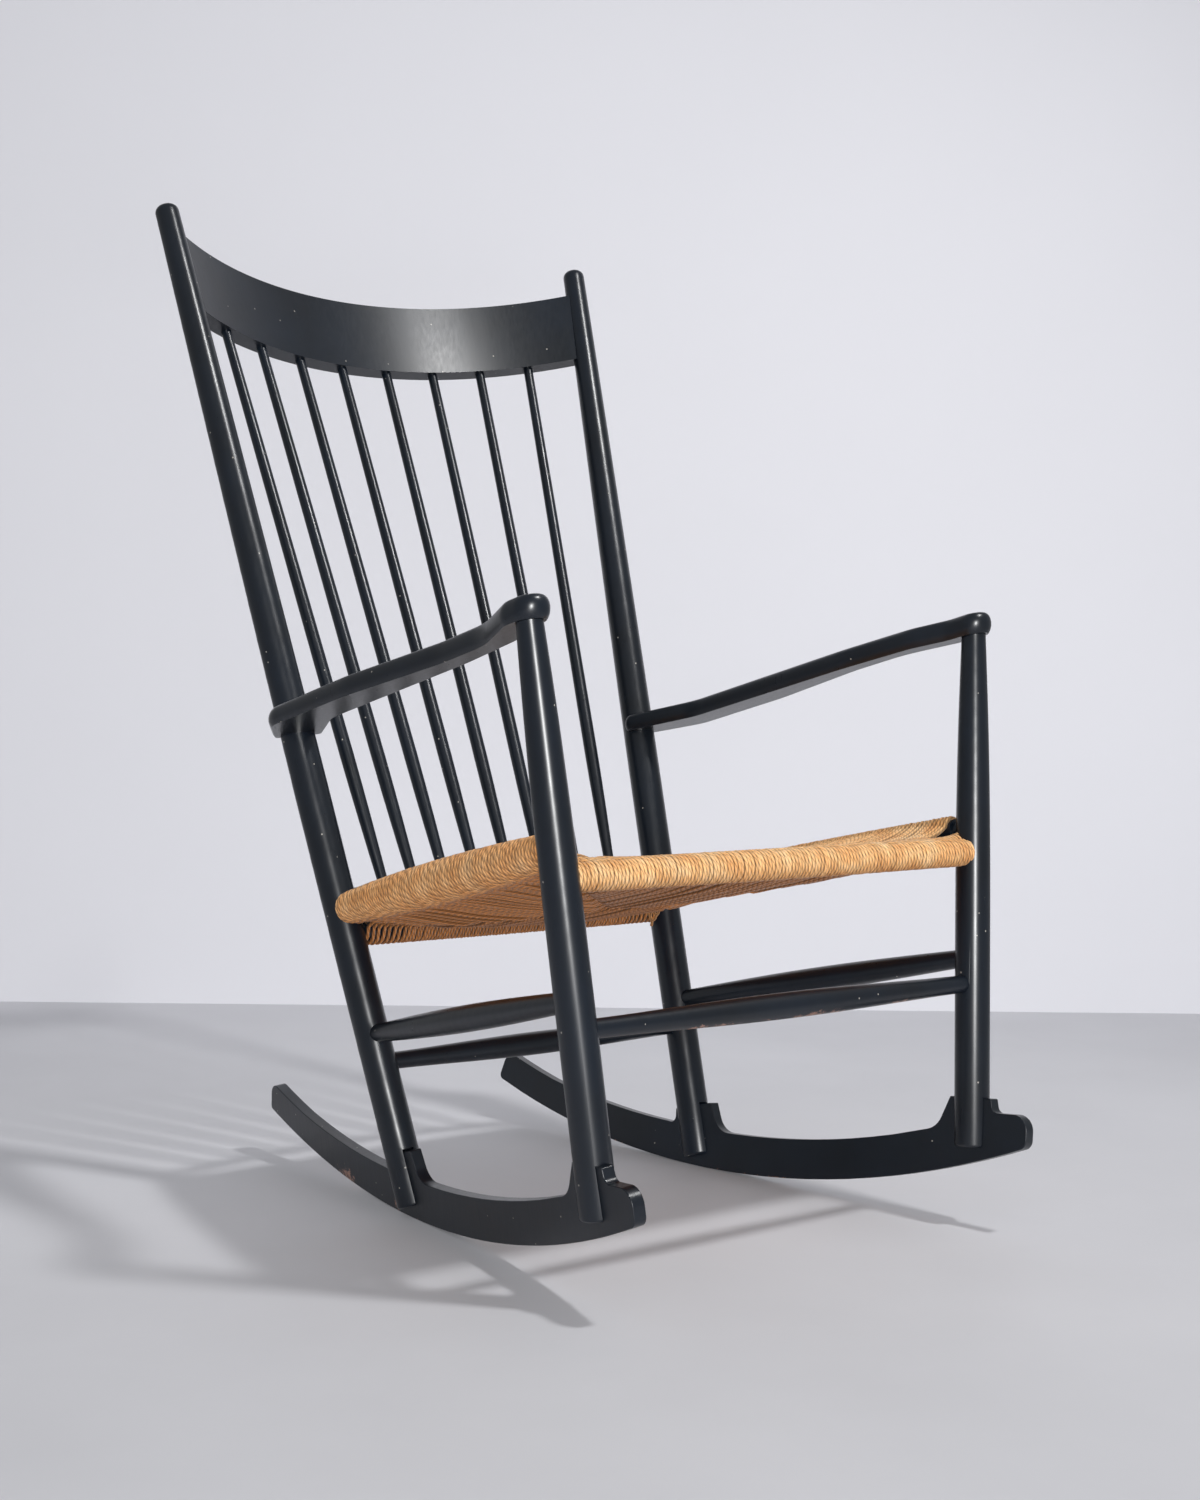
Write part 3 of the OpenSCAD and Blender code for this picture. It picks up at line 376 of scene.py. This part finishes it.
def cord_material():
    """Twisted paper cord: matt, straw coloured, browner below the seat and in crevices as painted shade.

    The UV map gives the length in m and the turn round the cord. The plies sink between each other, with
    painted shade in the grooves, by |sin(pi plies (length / lay + turn))|, and the flanks, where turns touch,
    get painted shade by |sin(2 pi turn)|.
    """
    m, t, p = material("paper_cord")
    place = add(t, "ShaderNodeTexCoord")
    uv = add(t, "ShaderNodeSeparateXYZ", links={"Vector": place.outputs["UV"]})

    # The twist of the plies, with painted shade in the grooves between them
    turns = add(t, "ShaderNodeMath", {1: PLIES * every(LAY)}, {0: uv.outputs["X"]}, operation="MULTIPLY")
    round_it = add(t, "ShaderNodeMath", {1: PLIES}, {0: uv.outputs["Y"]}, operation="MULTIPLY")
    phase = add(t, "ShaderNodeMath", links={0: turns.outputs[0], 1: round_it.outputs[0]}, operation="ADD")
    half_wave = add(t, "ShaderNodeMath", {1: np.pi}, {0: phase.outputs[0]}, operation="MULTIPLY")
    wave = add(t, "ShaderNodeMath", links={0: half_wave.outputs[0]}, operation="SINE")
    ply = add(t, "ShaderNodeMath", links={0: wave.outputs[0]}, operation="ABSOLUTE")
    ply_groove_shade = add(t, "ShaderNodeMapRange", {"From Max": 0.7, "To Min": 0.55, "To Max": 1.0},
               {"Value": ply.outputs[0]})

    # Straw colours in mottles of 22 mm, a darker brown painted as shade under the seat and on the
    # shaded rolls, and a tint for each turn
    mottle = add(t, "ShaderNodeTexNoise", {"Scale": every(22.22), "Detail": 3.0},
                 {"Vector": place.outputs["Object"]})
    straw = add(t, "ShaderNodeValToRGB", links={"Fac": mottle.outputs["Fac"]},
                stops=[(0.3, srgb("db9d60")), (0.52, srgb("eab57a")), (0.75, srgb("f6cd99"))])
    painted_light = add(t, "ShaderNodeAttribute", attribute_name="painted_light_share")
    lit_or_painted_shade = add(t, "ShaderNodeMix", {"A": srgb("ac6f3c")},
                {"Factor": painted_light.outputs["Fac"], "B": straw.outputs["Color"]}, data_type="RGBA")
    each = add(t, "ShaderNodeAttribute", attribute_name="strand")
    tint = add(t, "ShaderNodeMapRange", {"To Min": 0.86, "To Max": 1.08}, {"Value": each.outputs["Fac"]})
    tinted = add(t, "ShaderNodeMath", links={0: tint.outputs["Result"], 1: ply_groove_shade.outputs["Result"]},
                 operation="MULTIPLY")

    # Painted shade in the crevices between turns
    around = add(t, "ShaderNodeMath", {1: 2 * np.pi}, {0: uv.outputs["Y"]}, operation="MULTIPLY")
    across = add(t, "ShaderNodeMath", links={0: around.outputs[0]}, operation="SINE")
    flank = add(t, "ShaderNodeMath", links={0: across.outputs[0]}, operation="ABSOLUTE")
    crevice_shade = add(t, "ShaderNodeMapRange", {"From Min": 0.6, "To Min": 1.0, "To Max": 0.36},
                  {"Value": flank.outputs[0]})
    both = add(t, "ShaderNodeMath", links={0: tinted.outputs[0], 1: crevice_shade.outputs["Result"]},
               operation="MULTIPLY")
    shade = add(t, "ShaderNodeVectorMath", links={0: lit_or_painted_shade.outputs["Result"], "Scale": both.outputs[0]},
                operation="SCALE")

    # Relief of the plies, with paper fibres drawn 1 mm coarse so that they show
    fibre = add(t, "ShaderNodeTexNoise", {"Scale": every(1.111), "Detail": 4.0},
                {"Vector": place.outputs["Object"]})
    fuzz = add(t, "ShaderNodeMath", {1: 0.12}, {0: fibre.outputs["Fac"]}, operation="MULTIPLY")
    relief = add(t, "ShaderNodeMath", links={0: ply.outputs[0], 1: fuzz.outputs[0]}, operation="ADD")
    bump = add(t, "ShaderNodeBump", {"Strength": 1.0, "Distance": 0.0007}, {"Height": relief.outputs[0]})

    t.links.new(shade.outputs["Vector"], p.inputs["Base Color"])
    t.links.new(bump.outputs["Normal"], p.inputs["Normal"])
    p.inputs["Roughness"].default_value = 0.55
    p.inputs["IOR"].default_value = 1.5
    p.inputs["Specular IOR Level"].default_value = 0.25
    p.inputs["Sheen Weight"].default_value = 0.12
    p.inputs["Sheen Roughness"].default_value = 0.4
    return m


cord = cord_material()


def ease(t):
    """Half a cosine wave from 0 at t = 0 to 1 at t = 1."""
    return (1 - np.cos(np.pi * np.clip(t, 0, 1))) / 2


def seat_mid(x, y):
    """Middle of the weave: level with the nearer rail, sagging by SAG between the rails."""
    share = (y - FRONT[1]) / (REAR[1] - FRONT[1])
    half = FRONT[0] + (REAR[0] - FRONT[0]) * share
    from_end = np.maximum(np.minimum(y - FRONT[1], REAR[1] - y), 0)
    from_side = np.maximum(half - np.abs(x), 0)
    pull = (from_end + 0.01) / (from_end + from_side + 0.02)
    sag = SAG * ease(np.minimum(from_end, from_side) / (half * SAG_SHARE))
    return FRONT[2] + (REAR[2] - FRONT[2]) * share + SIDE_RISE * pull - sag


def layer(x, y, side):
    """Height of the cord's axis in the upper (side = 1) or the lower layer (side = -1)."""
    return seat_mid(x, y) + side * (HALF_WEAVE - CORD / 2)


def tubes(name, paths, refs, radius, painted_light_share, sides=8):
    """Tubes of this radius along paths (n, m, 3), each with its reference direction, as the seat's cord.

    The ring at each point is radius (cos(phi) normal + sin(phi) binormal). UV is length in m by turn.
    """
    n, m = paths.shape[:2]
    tangent = np.gradient(paths, axis=1)
    tangent /= np.linalg.norm(tangent, axis=2)[..., None]
    normal = np.cross(tangent, np.broadcast_to(refs[:, None, :], paths.shape))
    normal /= np.linalg.norm(normal, axis=2)[..., None]
    binormal = np.cross(tangent, normal)
    phi = np.linspace(0, 2 * np.pi, sides + 1)
    ring = normal[:, :, None] * np.cos(phi)[:, None] + binormal[:, :, None] * np.sin(phi)[:, None]
    verts = paths[:, :, None] + ring * radius
    steps = np.linalg.norm(np.diff(paths, axis=1), axis=2)
    run = np.concatenate([np.zeros((n, 1)), np.cumsum(steps, 1)], 1) / 1000.0
    run = run + rng.random((n, 1)) * TWIST_START
    uv = np.stack(np.broadcast_arrays(run[:, :, None], phi / (2 * np.pi)), -1)
    ring_start = (np.arange(n)[:, None, None] * m + np.arange(m - 1)[:, None]) * (sides + 1)
    base = ring_start + np.arange(sides)
    faces = np.stack([base, base + 1, base + sides + 2, base + sides + 1], -1).reshape(-1, 4)
    o = new_piece(name, rested(verts.reshape(-1, 3)), faces.tolist(), cord, uv.reshape(-1, 2))
    mark(o, "strand", np.repeat(rng.random(n), m * (sides + 1)))
    # The share of painted light along each strand: painted shade under the seat, the lit colour on top
    mark(o, "painted_light_share", np.tile(np.repeat(painted_light_share, sides + 1), n))
    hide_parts("woven_seat")


def turn(start, rail, radius, out, up, end, along):
    """Path of each strand (n, points, 3): from start under the seat, half a turn round the rail, over to end.

    The half turn is rail + radius (cos(phi) out + sin(phi) up). The rest runs straight in plan, at its
    layer's height plus gap exp(-distance / LEAVE), outside the roll's own circle, and wanders a little.
    """
    phi = np.linspace(-0.5 * np.pi, 0.5 * np.pi, ROUND)[None, :, None]
    arc = rail[:, None] + radius[:, None, None] * (np.cos(phi) * out[:, None] + np.sin(phi) * up[:, None])
    spread = np.linspace(0, 1, SPAN + 1)[1:][None, :, None] ** CLOSER
    spans = []
    for side, tip, near, uneven in ((-1, start, arc[:, 0], UNEVEN_UNDER), (1, end, arc[:, -1], UNEVEN_TOP)):
        xy = near[:, None, :2] + (tip[:, None] - near[:, None, :2]) * spread
        dist = np.linalg.norm(xy - near[:, None, :2], axis=2)
        left = np.linalg.norm(tip - near[:, :2], axis=1)[:, None] - dist
        z = layer(xy[..., 0], xy[..., 1], side)
        if side < 0:
            from_rear = REAR[1] - xy[..., 1]
            from_end = np.minimum(xy[..., 1] - FRONT[1], from_rear)
            z = z - HANG * ease(dist / HANG_SPAN) * ease(from_end / HANG_SPAN)
            z = z + DRAWN_UP * np.exp(-(from_rear / DRAWN_SPAN) ** 2) * ease(dist / DRAWN_START)
        gap = (near[:, 2] - layer(near[:, 0], near[:, 1], side))[:, None]
        z = z + gap * np.exp(-dist / LEAVE) - side * DIVE * np.exp(-left / DIVE_SPAN)
        hug = side * rail[:, None, 2] + np.sqrt(np.maximum(radius[:, None] ** 2 - dist ** 2, 0))
        z = np.where(dist < radius[:, None], side * np.maximum(side * z, hug), z)
        loose = ease(dist / WANDER_START)
        bend = rng.normal(0, 1, (len(start), 4))
        u = dist / WANDER_SPAN
        slow = bend[:, :1] * np.sin(SLOW_TURN * u + bend[:, 1:2]) * SLOW_WAVE
        quick = bend[:, 2:3] * np.sin(QUICK_TURN * u + bend[:, 3:4]) * QUICK_WAVE
        z = z + rng.normal(0, uneven, (len(start), 1)) * loose
        xy = xy + ((slow + quick) * loose)[..., None] * along[:, None, :2]
        spans.append(np.concatenate([xy, z[..., None]], 2))
    return np.concatenate([spans[0][:, ::-1], arc, spans[1]], 1)


def wind(name, at, a, b, seam_top, seam_low, roll_radius, outwards, cord_radius, top_painted_light=1.0):
    """Strands round the rail from a to b at these shares of its length, from seam_low(t) to seam_top(t).

    Below the seat they carry painted shade, which gives way to a painted lit colour from half-way round the
    rail on, up to the share given as the last argument.
    """
    t = at + rng.normal(0, UNEVEN_GAP, len(at)) / len(at)
    rail = a + (b - a) * t[:, None]
    axis = (b - a) / np.linalg.norm(b - a)
    out = outwards - axis * (outwards @ axis)
    out = out / np.linalg.norm(out)
    up = np.cross(axis, out)
    up = up * np.sign(up[2])
    radius = roll_radius(t) + rng.normal(0, UNEVEN_RADIUS, len(at))
    ones = np.ones((len(at), 1))
    paths = turn(seam_low(t), rail, radius, out * ones, up * ones, seam_top(t), axis * ones)
    # Painted shade under the seat gives way to painted light half-way round the rail, up to the given share
    painted_light_share = np.clip((np.arange(SPAN + ROUND + SPAN) - (SPAN - 1)) / (ROUND // 2), 0, 1) * top_painted_light
    tubes(name, paths, axis * ones, cord_radius, painted_light_share)


def evenly(count):
    """Shares of a rail's length for this many turns at one pitch."""
    return (np.arange(count) + 0.5) / count


def slipped(t, length):
    """Radius lost beside the posts of a roll this long: SLIP exp(-(distance to the end / SLIP_SPAN)^2)."""
    return SLIP * np.exp(-(np.minimum(t, 1 - t) * length / SLIP_SPAN) ** 2)


def between(t, table):
    """Plan point for each t, straight between the places of a table of (t, x, y)."""
    table = np.array(table, float)
    return np.stack([np.interp(t, table[:, 0], table[:, k]) for k in (1, 2)], -1)


def both_ways(t, table):
    """Plan point for each t: the table's (t, x, y) on the right side, then their mirror image at 1 - t."""
    table = np.array(table, float)
    mirrored = table[::-1] * [-1, 1, 1] + [1, 0, 0]
    return between(t, np.concatenate([table * [1, -1, 1], mirrored]))


# The front rail's turns lie close together and swell a little at the middle of the roll. Their ends meet
# the side turns on seams that run in from the corners.
FRONT_TURNS, FRONT_HALF, FRONT_CORD_R = 121, 254.0, 2.1
ROLL_R, FRONT_SWELL = 12.0, 0.9


def front_seam_top(t):
    """Seam on the top: along the front rail past each post, then in to the ridge."""
    return both_ways(t, [(0, 254, -279), (0.08, 214, -274), (0.42, RIDGE_X, RIDGE_Y)])


def front_seam_low(t):
    """Seam on the underside."""
    return both_ways(t, [(0, 252, -272), (0.05, 228, -262), (0.42, RIDGE_X, RIDGE_Y)])


def front_radius(t):
    """Radius of the roll, with a sine's swell at its middle."""
    return ROLL_R + FRONT_SWELL * np.sin(np.pi * t) - slipped(t, 2 * FRONT_HALF)


front_mid, front_half = FRONT * [0, 1, 1], np.array([FRONT_HALF, 0, 0])
wind("cord_front", evenly(FRONT_TURNS), front_mid - front_half, front_mid + front_half, front_seam_top,
     front_seam_low, front_radius, np.array([0.0, -1, 0]), FRONT_CORD_R)

# The rear rail's turns are wound the same way, close together in the middle and looser beside the posts.
# Their seams run straight in to the ridge.
REAR_HALF, REAR_CORD_R, REAR_SWELL = 199.0, 2.0, 0.5
LOOSE_TURNS, LOOSE_PITCH, TIGHT_TURNS, TIGHT_PITCH = 8, 6.4, 71, 4.17
TIGHT_FROM, LOOSE_AGAIN_FROM = 53.3, 346.9


def rear_seam_top(t):
    """Seam on the top, from beside the post straight to the ridge."""
    return both_ways(t, [(0, 192, 118), (0.4, RIDGE_X, RIDGE_Y)])


def rear_seam_low(t):
    """Seam on the underside."""
    return both_ways(t, [(0, 192, 112), (0.4, RIDGE_X, RIDGE_Y)])


def rear_radius(t):
    """Radius of the roll, with a sine's swell at its middle."""
    return ROLL_R + REAR_SWELL * np.sin(np.pi * t) - slipped(t, 2 * REAR_HALF)


loose = (np.arange(LOOSE_TURNS) + 0.5) * LOOSE_PITCH
tight = TIGHT_FROM + np.arange(TIGHT_TURNS) * TIGHT_PITCH
rear_turns = np.concatenate([loose, tight, LOOSE_AGAIN_FROM + loose]) / (2 * REAR_HALF)
rear_mid, rear_half = REAR * [0, 1, 1], np.array([REAR_HALF, 0, 0])
wind("cord_rear", rear_turns, rear_mid - rear_half, rear_mid + rear_half, rear_seam_top, rear_seam_low,
     rear_radius, np.array([0.0, 1, 0]), REAR_CORD_R)

# The side rails' turns start clear of the rear posts and end beside the front ones. The near (right) roll
# stands prouder at its middle than the far one, reaches closer to its post, and carries more painted shade.
SIDE_TURNS, SIDE_CORD_R, SIDE_ROLL_R, SIDE_ROLL_LENGTH, REAR_CLEAR = 80, 2.2, 13.5, 404.0, 13.5
FULLNESS = 0.8

# Name, mirror sign, swell of the roll, its end short of the rail's, last x of the top seam, and the share
# of painted light on top, where less means more painted shade
SIDES = (("cord_left", 1, 2.0, 22.0, 187, 1.0), ("cord_right", -1, 5.5, 7.0, 216, 0.6))


def wind_side(name, sign, proud, short, last, top_painted_light):
    """Turns on one side rail, whose roll has the radius SIDE_ROLL_R + proud sin(pi t)^FULLNESS."""
    mirror = np.array([sign, 1, 1])
    axis = (SIDE_F - SIDE_R) / np.linalg.norm(SIDE_F - SIDE_R)

    def seam_top(t):
        return between(t, [(0, 186, 108), (0.5, RIDGE_X, RIDGE_Y), (0.92, last - 3, -264),
                           (1, last, -276)]) * mirror[:2]

    def seam_low(t):
        return between(t, [(0, 190, 112), (0.5, RIDGE_X, RIDGE_Y), (0.97, 222, -258),
                           (1, 230, -266)]) * mirror[:2]

    def radius(t):
        swell = proud * np.sin(np.pi * t) ** FULLNESS
        return SIDE_ROLL_R + swell - slipped(np.minimum(t, 0.5), SIDE_ROLL_LENGTH)

    wind(name, evenly(SIDE_TURNS), (SIDE_R + axis * REAR_CLEAR) * mirror, (SIDE_F - axis * short) * mirror,
         seam_top, seam_low, radius, np.array([sign, 0.0, 0]), SIDE_CORD_R, top_painted_light)


for values in SIDES:
    wind_side(*values)

# The cord ends in a small overhand knot with a short tail, which hangs under the rear roll towards the far
# side. It is a trefoil curve, seen flat on from the camera, with the tail's slight curve after it.
KNOT_AT, KNOT_SIZE, KNOT_RADIUS = np.array([178.0, 116.0, 278.0]), [2.3, 2.3, 1.6], 1.6
# The knot hangs under the roll, so it gets mostly the painted shade of the underside
KNOT_PAINTED_LIGHT, KNOT_POINTS, TAIL_POINTS = 0.3, 60, 14
TAIL_BOW, TAIL_DROP, TAIL_BACK = 2.0, (-1.5, -12), 3

t = np.linspace(0.35, 6.0, KNOT_POINTS)
trefoil = np.stack([np.sin(t) + 2 * np.sin(2 * t), np.cos(t) - 2 * np.cos(2 * t), -np.sin(3 * t)], -1)
tied = trefoil * KNOT_SIZE
bow = TAIL_BOW * np.sin(np.linspace(0.3, 2.6, TAIL_POINTS))
drop, back = np.linspace(*TAIL_DROP, TAIL_POINTS), np.linspace(0, TAIL_BACK, TAIL_POINTS)
tail = tied[-1] + np.stack([bow, drop, back], -1)
knot = np.concatenate([tied, tail])
flat_on = np.array([[0.782, -0.622, 0.0], [0.0, 0.0, 1.0], [0.622, 0.782, 0.0]])  # right, up, away
tubes("cord_knot", (KNOT_AT + knot @ flat_on)[None], flat_on[2:], KNOT_RADIUS,
      np.full(len(knot), KNOT_PAINTED_LIGHT))

# Padding, taken to be brown paper, fills the space between the two layers of cord, so that no light shows
# between turns. It is a closed grid: the middle of the weave, raised and lowered by half its thickness.
PAD_GRID, PAD_END, PAD_SIDE, PAD_HALF = 40, 8.0, 22.0, 7.0
PAD_HANG, PAD_DRAWN_UP = 3.0, 9.0

u, v = np.meshgrid(np.linspace(-1, 1, PAD_GRID), np.linspace(0, 1, PAD_GRID), indexing="ij")
y = FRONT[1] + PAD_END + (REAR[1] - FRONT[1] - 2 * PAD_END) * v
x = u * (FRONT[0] + (REAR[0] - FRONT[0]) * (y - FRONT[1]) / (REAR[1] - FRONT[1]) - PAD_SIDE)
mid = seat_mid(x, y)
hang = PAD_HANG - PAD_DRAWN_UP * np.exp(-((REAR[1] - y) / DRAWN_SPAN) ** 2)
sheets = np.stack([np.stack([x, y, mid + PAD_HALF], -1), np.stack([x, y, mid - PAD_HALF - hang], -1)])
at = np.arange(PAD_GRID ** 2).reshape(PAD_GRID, PAD_GRID)
top = np.stack([at[:-1, :-1], at[1:, :-1], at[1:, 1:], at[:-1, 1:]], -1).reshape(-1, 4)
rim = np.concatenate([at[:, 0], at[-1, 1:], at[-2::-1, -1], at[0, -2:0:-1]])
wall = np.stack([rim, rim + at.size, np.roll(rim, -1) + at.size, np.roll(rim, -1)], -1)[:, ::-1]

paper, t, p = material("padding")
place = add(t, "ShaderNodeTexCoord").outputs["Object"]
fleck = add(t, "ShaderNodeTexNoise", {"Scale": every(3.333), "Detail": 3.0}, {"Vector": place})
brown = add(t, "ShaderNodeValToRGB", links={"Fac": fleck.outputs["Fac"]},
            stops=[(0.3, srgb("4a3320")), (0.7, srgb("6b4b30"))])
t.links.new(brown.outputs["Color"], p.inputs["Base Color"])
p.inputs["Roughness"].default_value = 0.9
padding = new_piece("seat_padding", rested(sheets.reshape(-1, 3)),
                    np.concatenate([top, top[:, ::-1] + at.size, wall]).tolist(), paper)
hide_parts("woven_seat")

# The studio is a pale grey painted floor and a wall that meets it square to the view, 3.43 m from the
# camera. Both are matt, with faint clouds over half a metre wide.
EYE = Vector((-1.3436, -1.75422, 0.53663))
VIEW = Vector((0.622431, 0.781974, 0.0)).normalized()
ACROSS = Vector((VIEW.y, -VIEW.x, 0.0))
UPWARDS = Vector((0.0, 0.0, 1.0))
WALL_AWAY, WALL_HALF, WALL_HEIGHT = 3.43, 1.2, 2.4
FLOOR_HALF, FLOOR_DEEP = 4.0, 7.0


def backdrop(name, corners, low, high, rough):
    """One flat stage piece through these corners, in clouds of paint between two greys."""
    m, t, p = material(name)
    place = add(t, "ShaderNodeTexCoord").outputs["Object"]
    cloud = add(t, "ShaderNodeTexNoise", {"Scale": every(625), "Detail": 6.0, "Roughness": 0.55},
                {"Vector": place})
    paint = add(t, "ShaderNodeValToRGB", links={"Fac": cloud.outputs["Fac"]},
                stops=[(0.3, srgb(low)), (0.7, srgb(high))])
    t.links.new(paint.outputs["Color"], p.inputs["Base Color"])
    p.inputs["Roughness"].default_value = rough
    mesh = bpy.data.meshes.new(name)
    mesh.from_pydata([tuple(corner) for corner in corners], [], [(0, 1, 2, 3)])
    mesh.materials.append(m)
    o = bpy.data.objects.new(name, mesh)
    bpy.context.scene.collection.objects.link(o)


foot = EYE + VIEW * WALL_AWAY
foot.z = 0.0
wall_side, taller = ACROSS * WALL_HALF, UPWARDS * WALL_HEIGHT
floor_side, nearer = ACROSS * FLOOR_HALF, VIEW * FLOOR_DEEP
backdrop("floor", [foot - floor_side - nearer, foot + floor_side - nearer,
                   foot + floor_side, foot - floor_side], "ceced2", "d8d8dc", rough=0.6)
backdrop("wall", [foot - wall_side, foot + wall_side,
                  foot + wall_side + taller, foot - wall_side + taller], "dcdce1", "dedee3", rough=0.85)

# One small key light stands high on the right and throws the crisp shadows. A tall narrow light behind the
# camera draws the highlights down the posts. Its own shadow is off, because the photo's wall shows none.
AIM = UPWARDS * 0.5
WORLD_COLOUR, WORLD_STRENGTH = (0.86, 0.87, 0.9, 1), 0.37


def lamp(name, turned, raised, distance, size, power, spread, shadow):
    """Area light aimed at the chair, turned right from the view and raised, in degrees and metres."""
    a, e = np.radians(turned), np.radians(raised)
    level = VIEW * np.cos(a) + ACROSS * np.sin(a)
    place = AIM + (level * np.cos(e) + UPWARDS * np.sin(e)) * distance
    light = bpy.data.lights.new(name, "AREA")
    light.shape = "RECTANGLE"
    light.size, light.size_y = size
    light.energy = power
    light.spread = np.radians(spread)
    light.use_shadow = shadow
    o = bpy.data.objects.new(name, light)
    o.location = place
    o.rotation_euler = (AIM - place).to_track_quat("-Z", "Y").to_euler()
    bpy.context.scene.collection.objects.link(o)


lamp("key", turned=120, raised=55, distance=2.65, size=(0.22, 0.22), power=10.0, spread=95, shadow=True)
lamp("strip", turned=168, raised=6, distance=4.5, size=(0.32, 1.0), power=160.0, spread=180, shadow=False)
world = bpy.data.worlds.new("studio")
world.use_nodes = True
world.node_tree.nodes["Background"].inputs["Color"].default_value = WORLD_COLOUR
world.node_tree.nodes["Background"].inputs["Strength"].default_value = WORLD_STRENGTH
bpy.context.scene.world = world

# The camera stands where the photo was taken from: 0.54 m up, in front of the chair's right side. Its lens
# and its turn come from the posts' axes, each of which the photo shows twice, left and right.
LENS, SENSOR, CLIP_START = 50.4, 36.0, 0.05
CAMERA_RIGHT = Vector((0.782573, -0.622474, 0.010238))
CAMERA_UP = Vector((0.01261, 0.032291, 0.999399))

camera = bpy.data.objects.new("camera", bpy.data.cameras.new("camera"))
camera.data.sensor_fit = "VERTICAL"
camera.data.sensor_height = SENSOR
camera.data.lens = LENS
camera.data.clip_start = CLIP_START
turned = Matrix((CAMERA_RIGHT, CAMERA_UP, CAMERA_RIGHT.cross(CAMERA_UP))).transposed()
camera.matrix_world = Matrix.Translation(EYE) @ turned.to_4x4()
bpy.context.scene.collection.objects.link(camera)
bpy.context.scene.camera = camera
bpy.context.scene.view_settings.view_transform = "Standard"
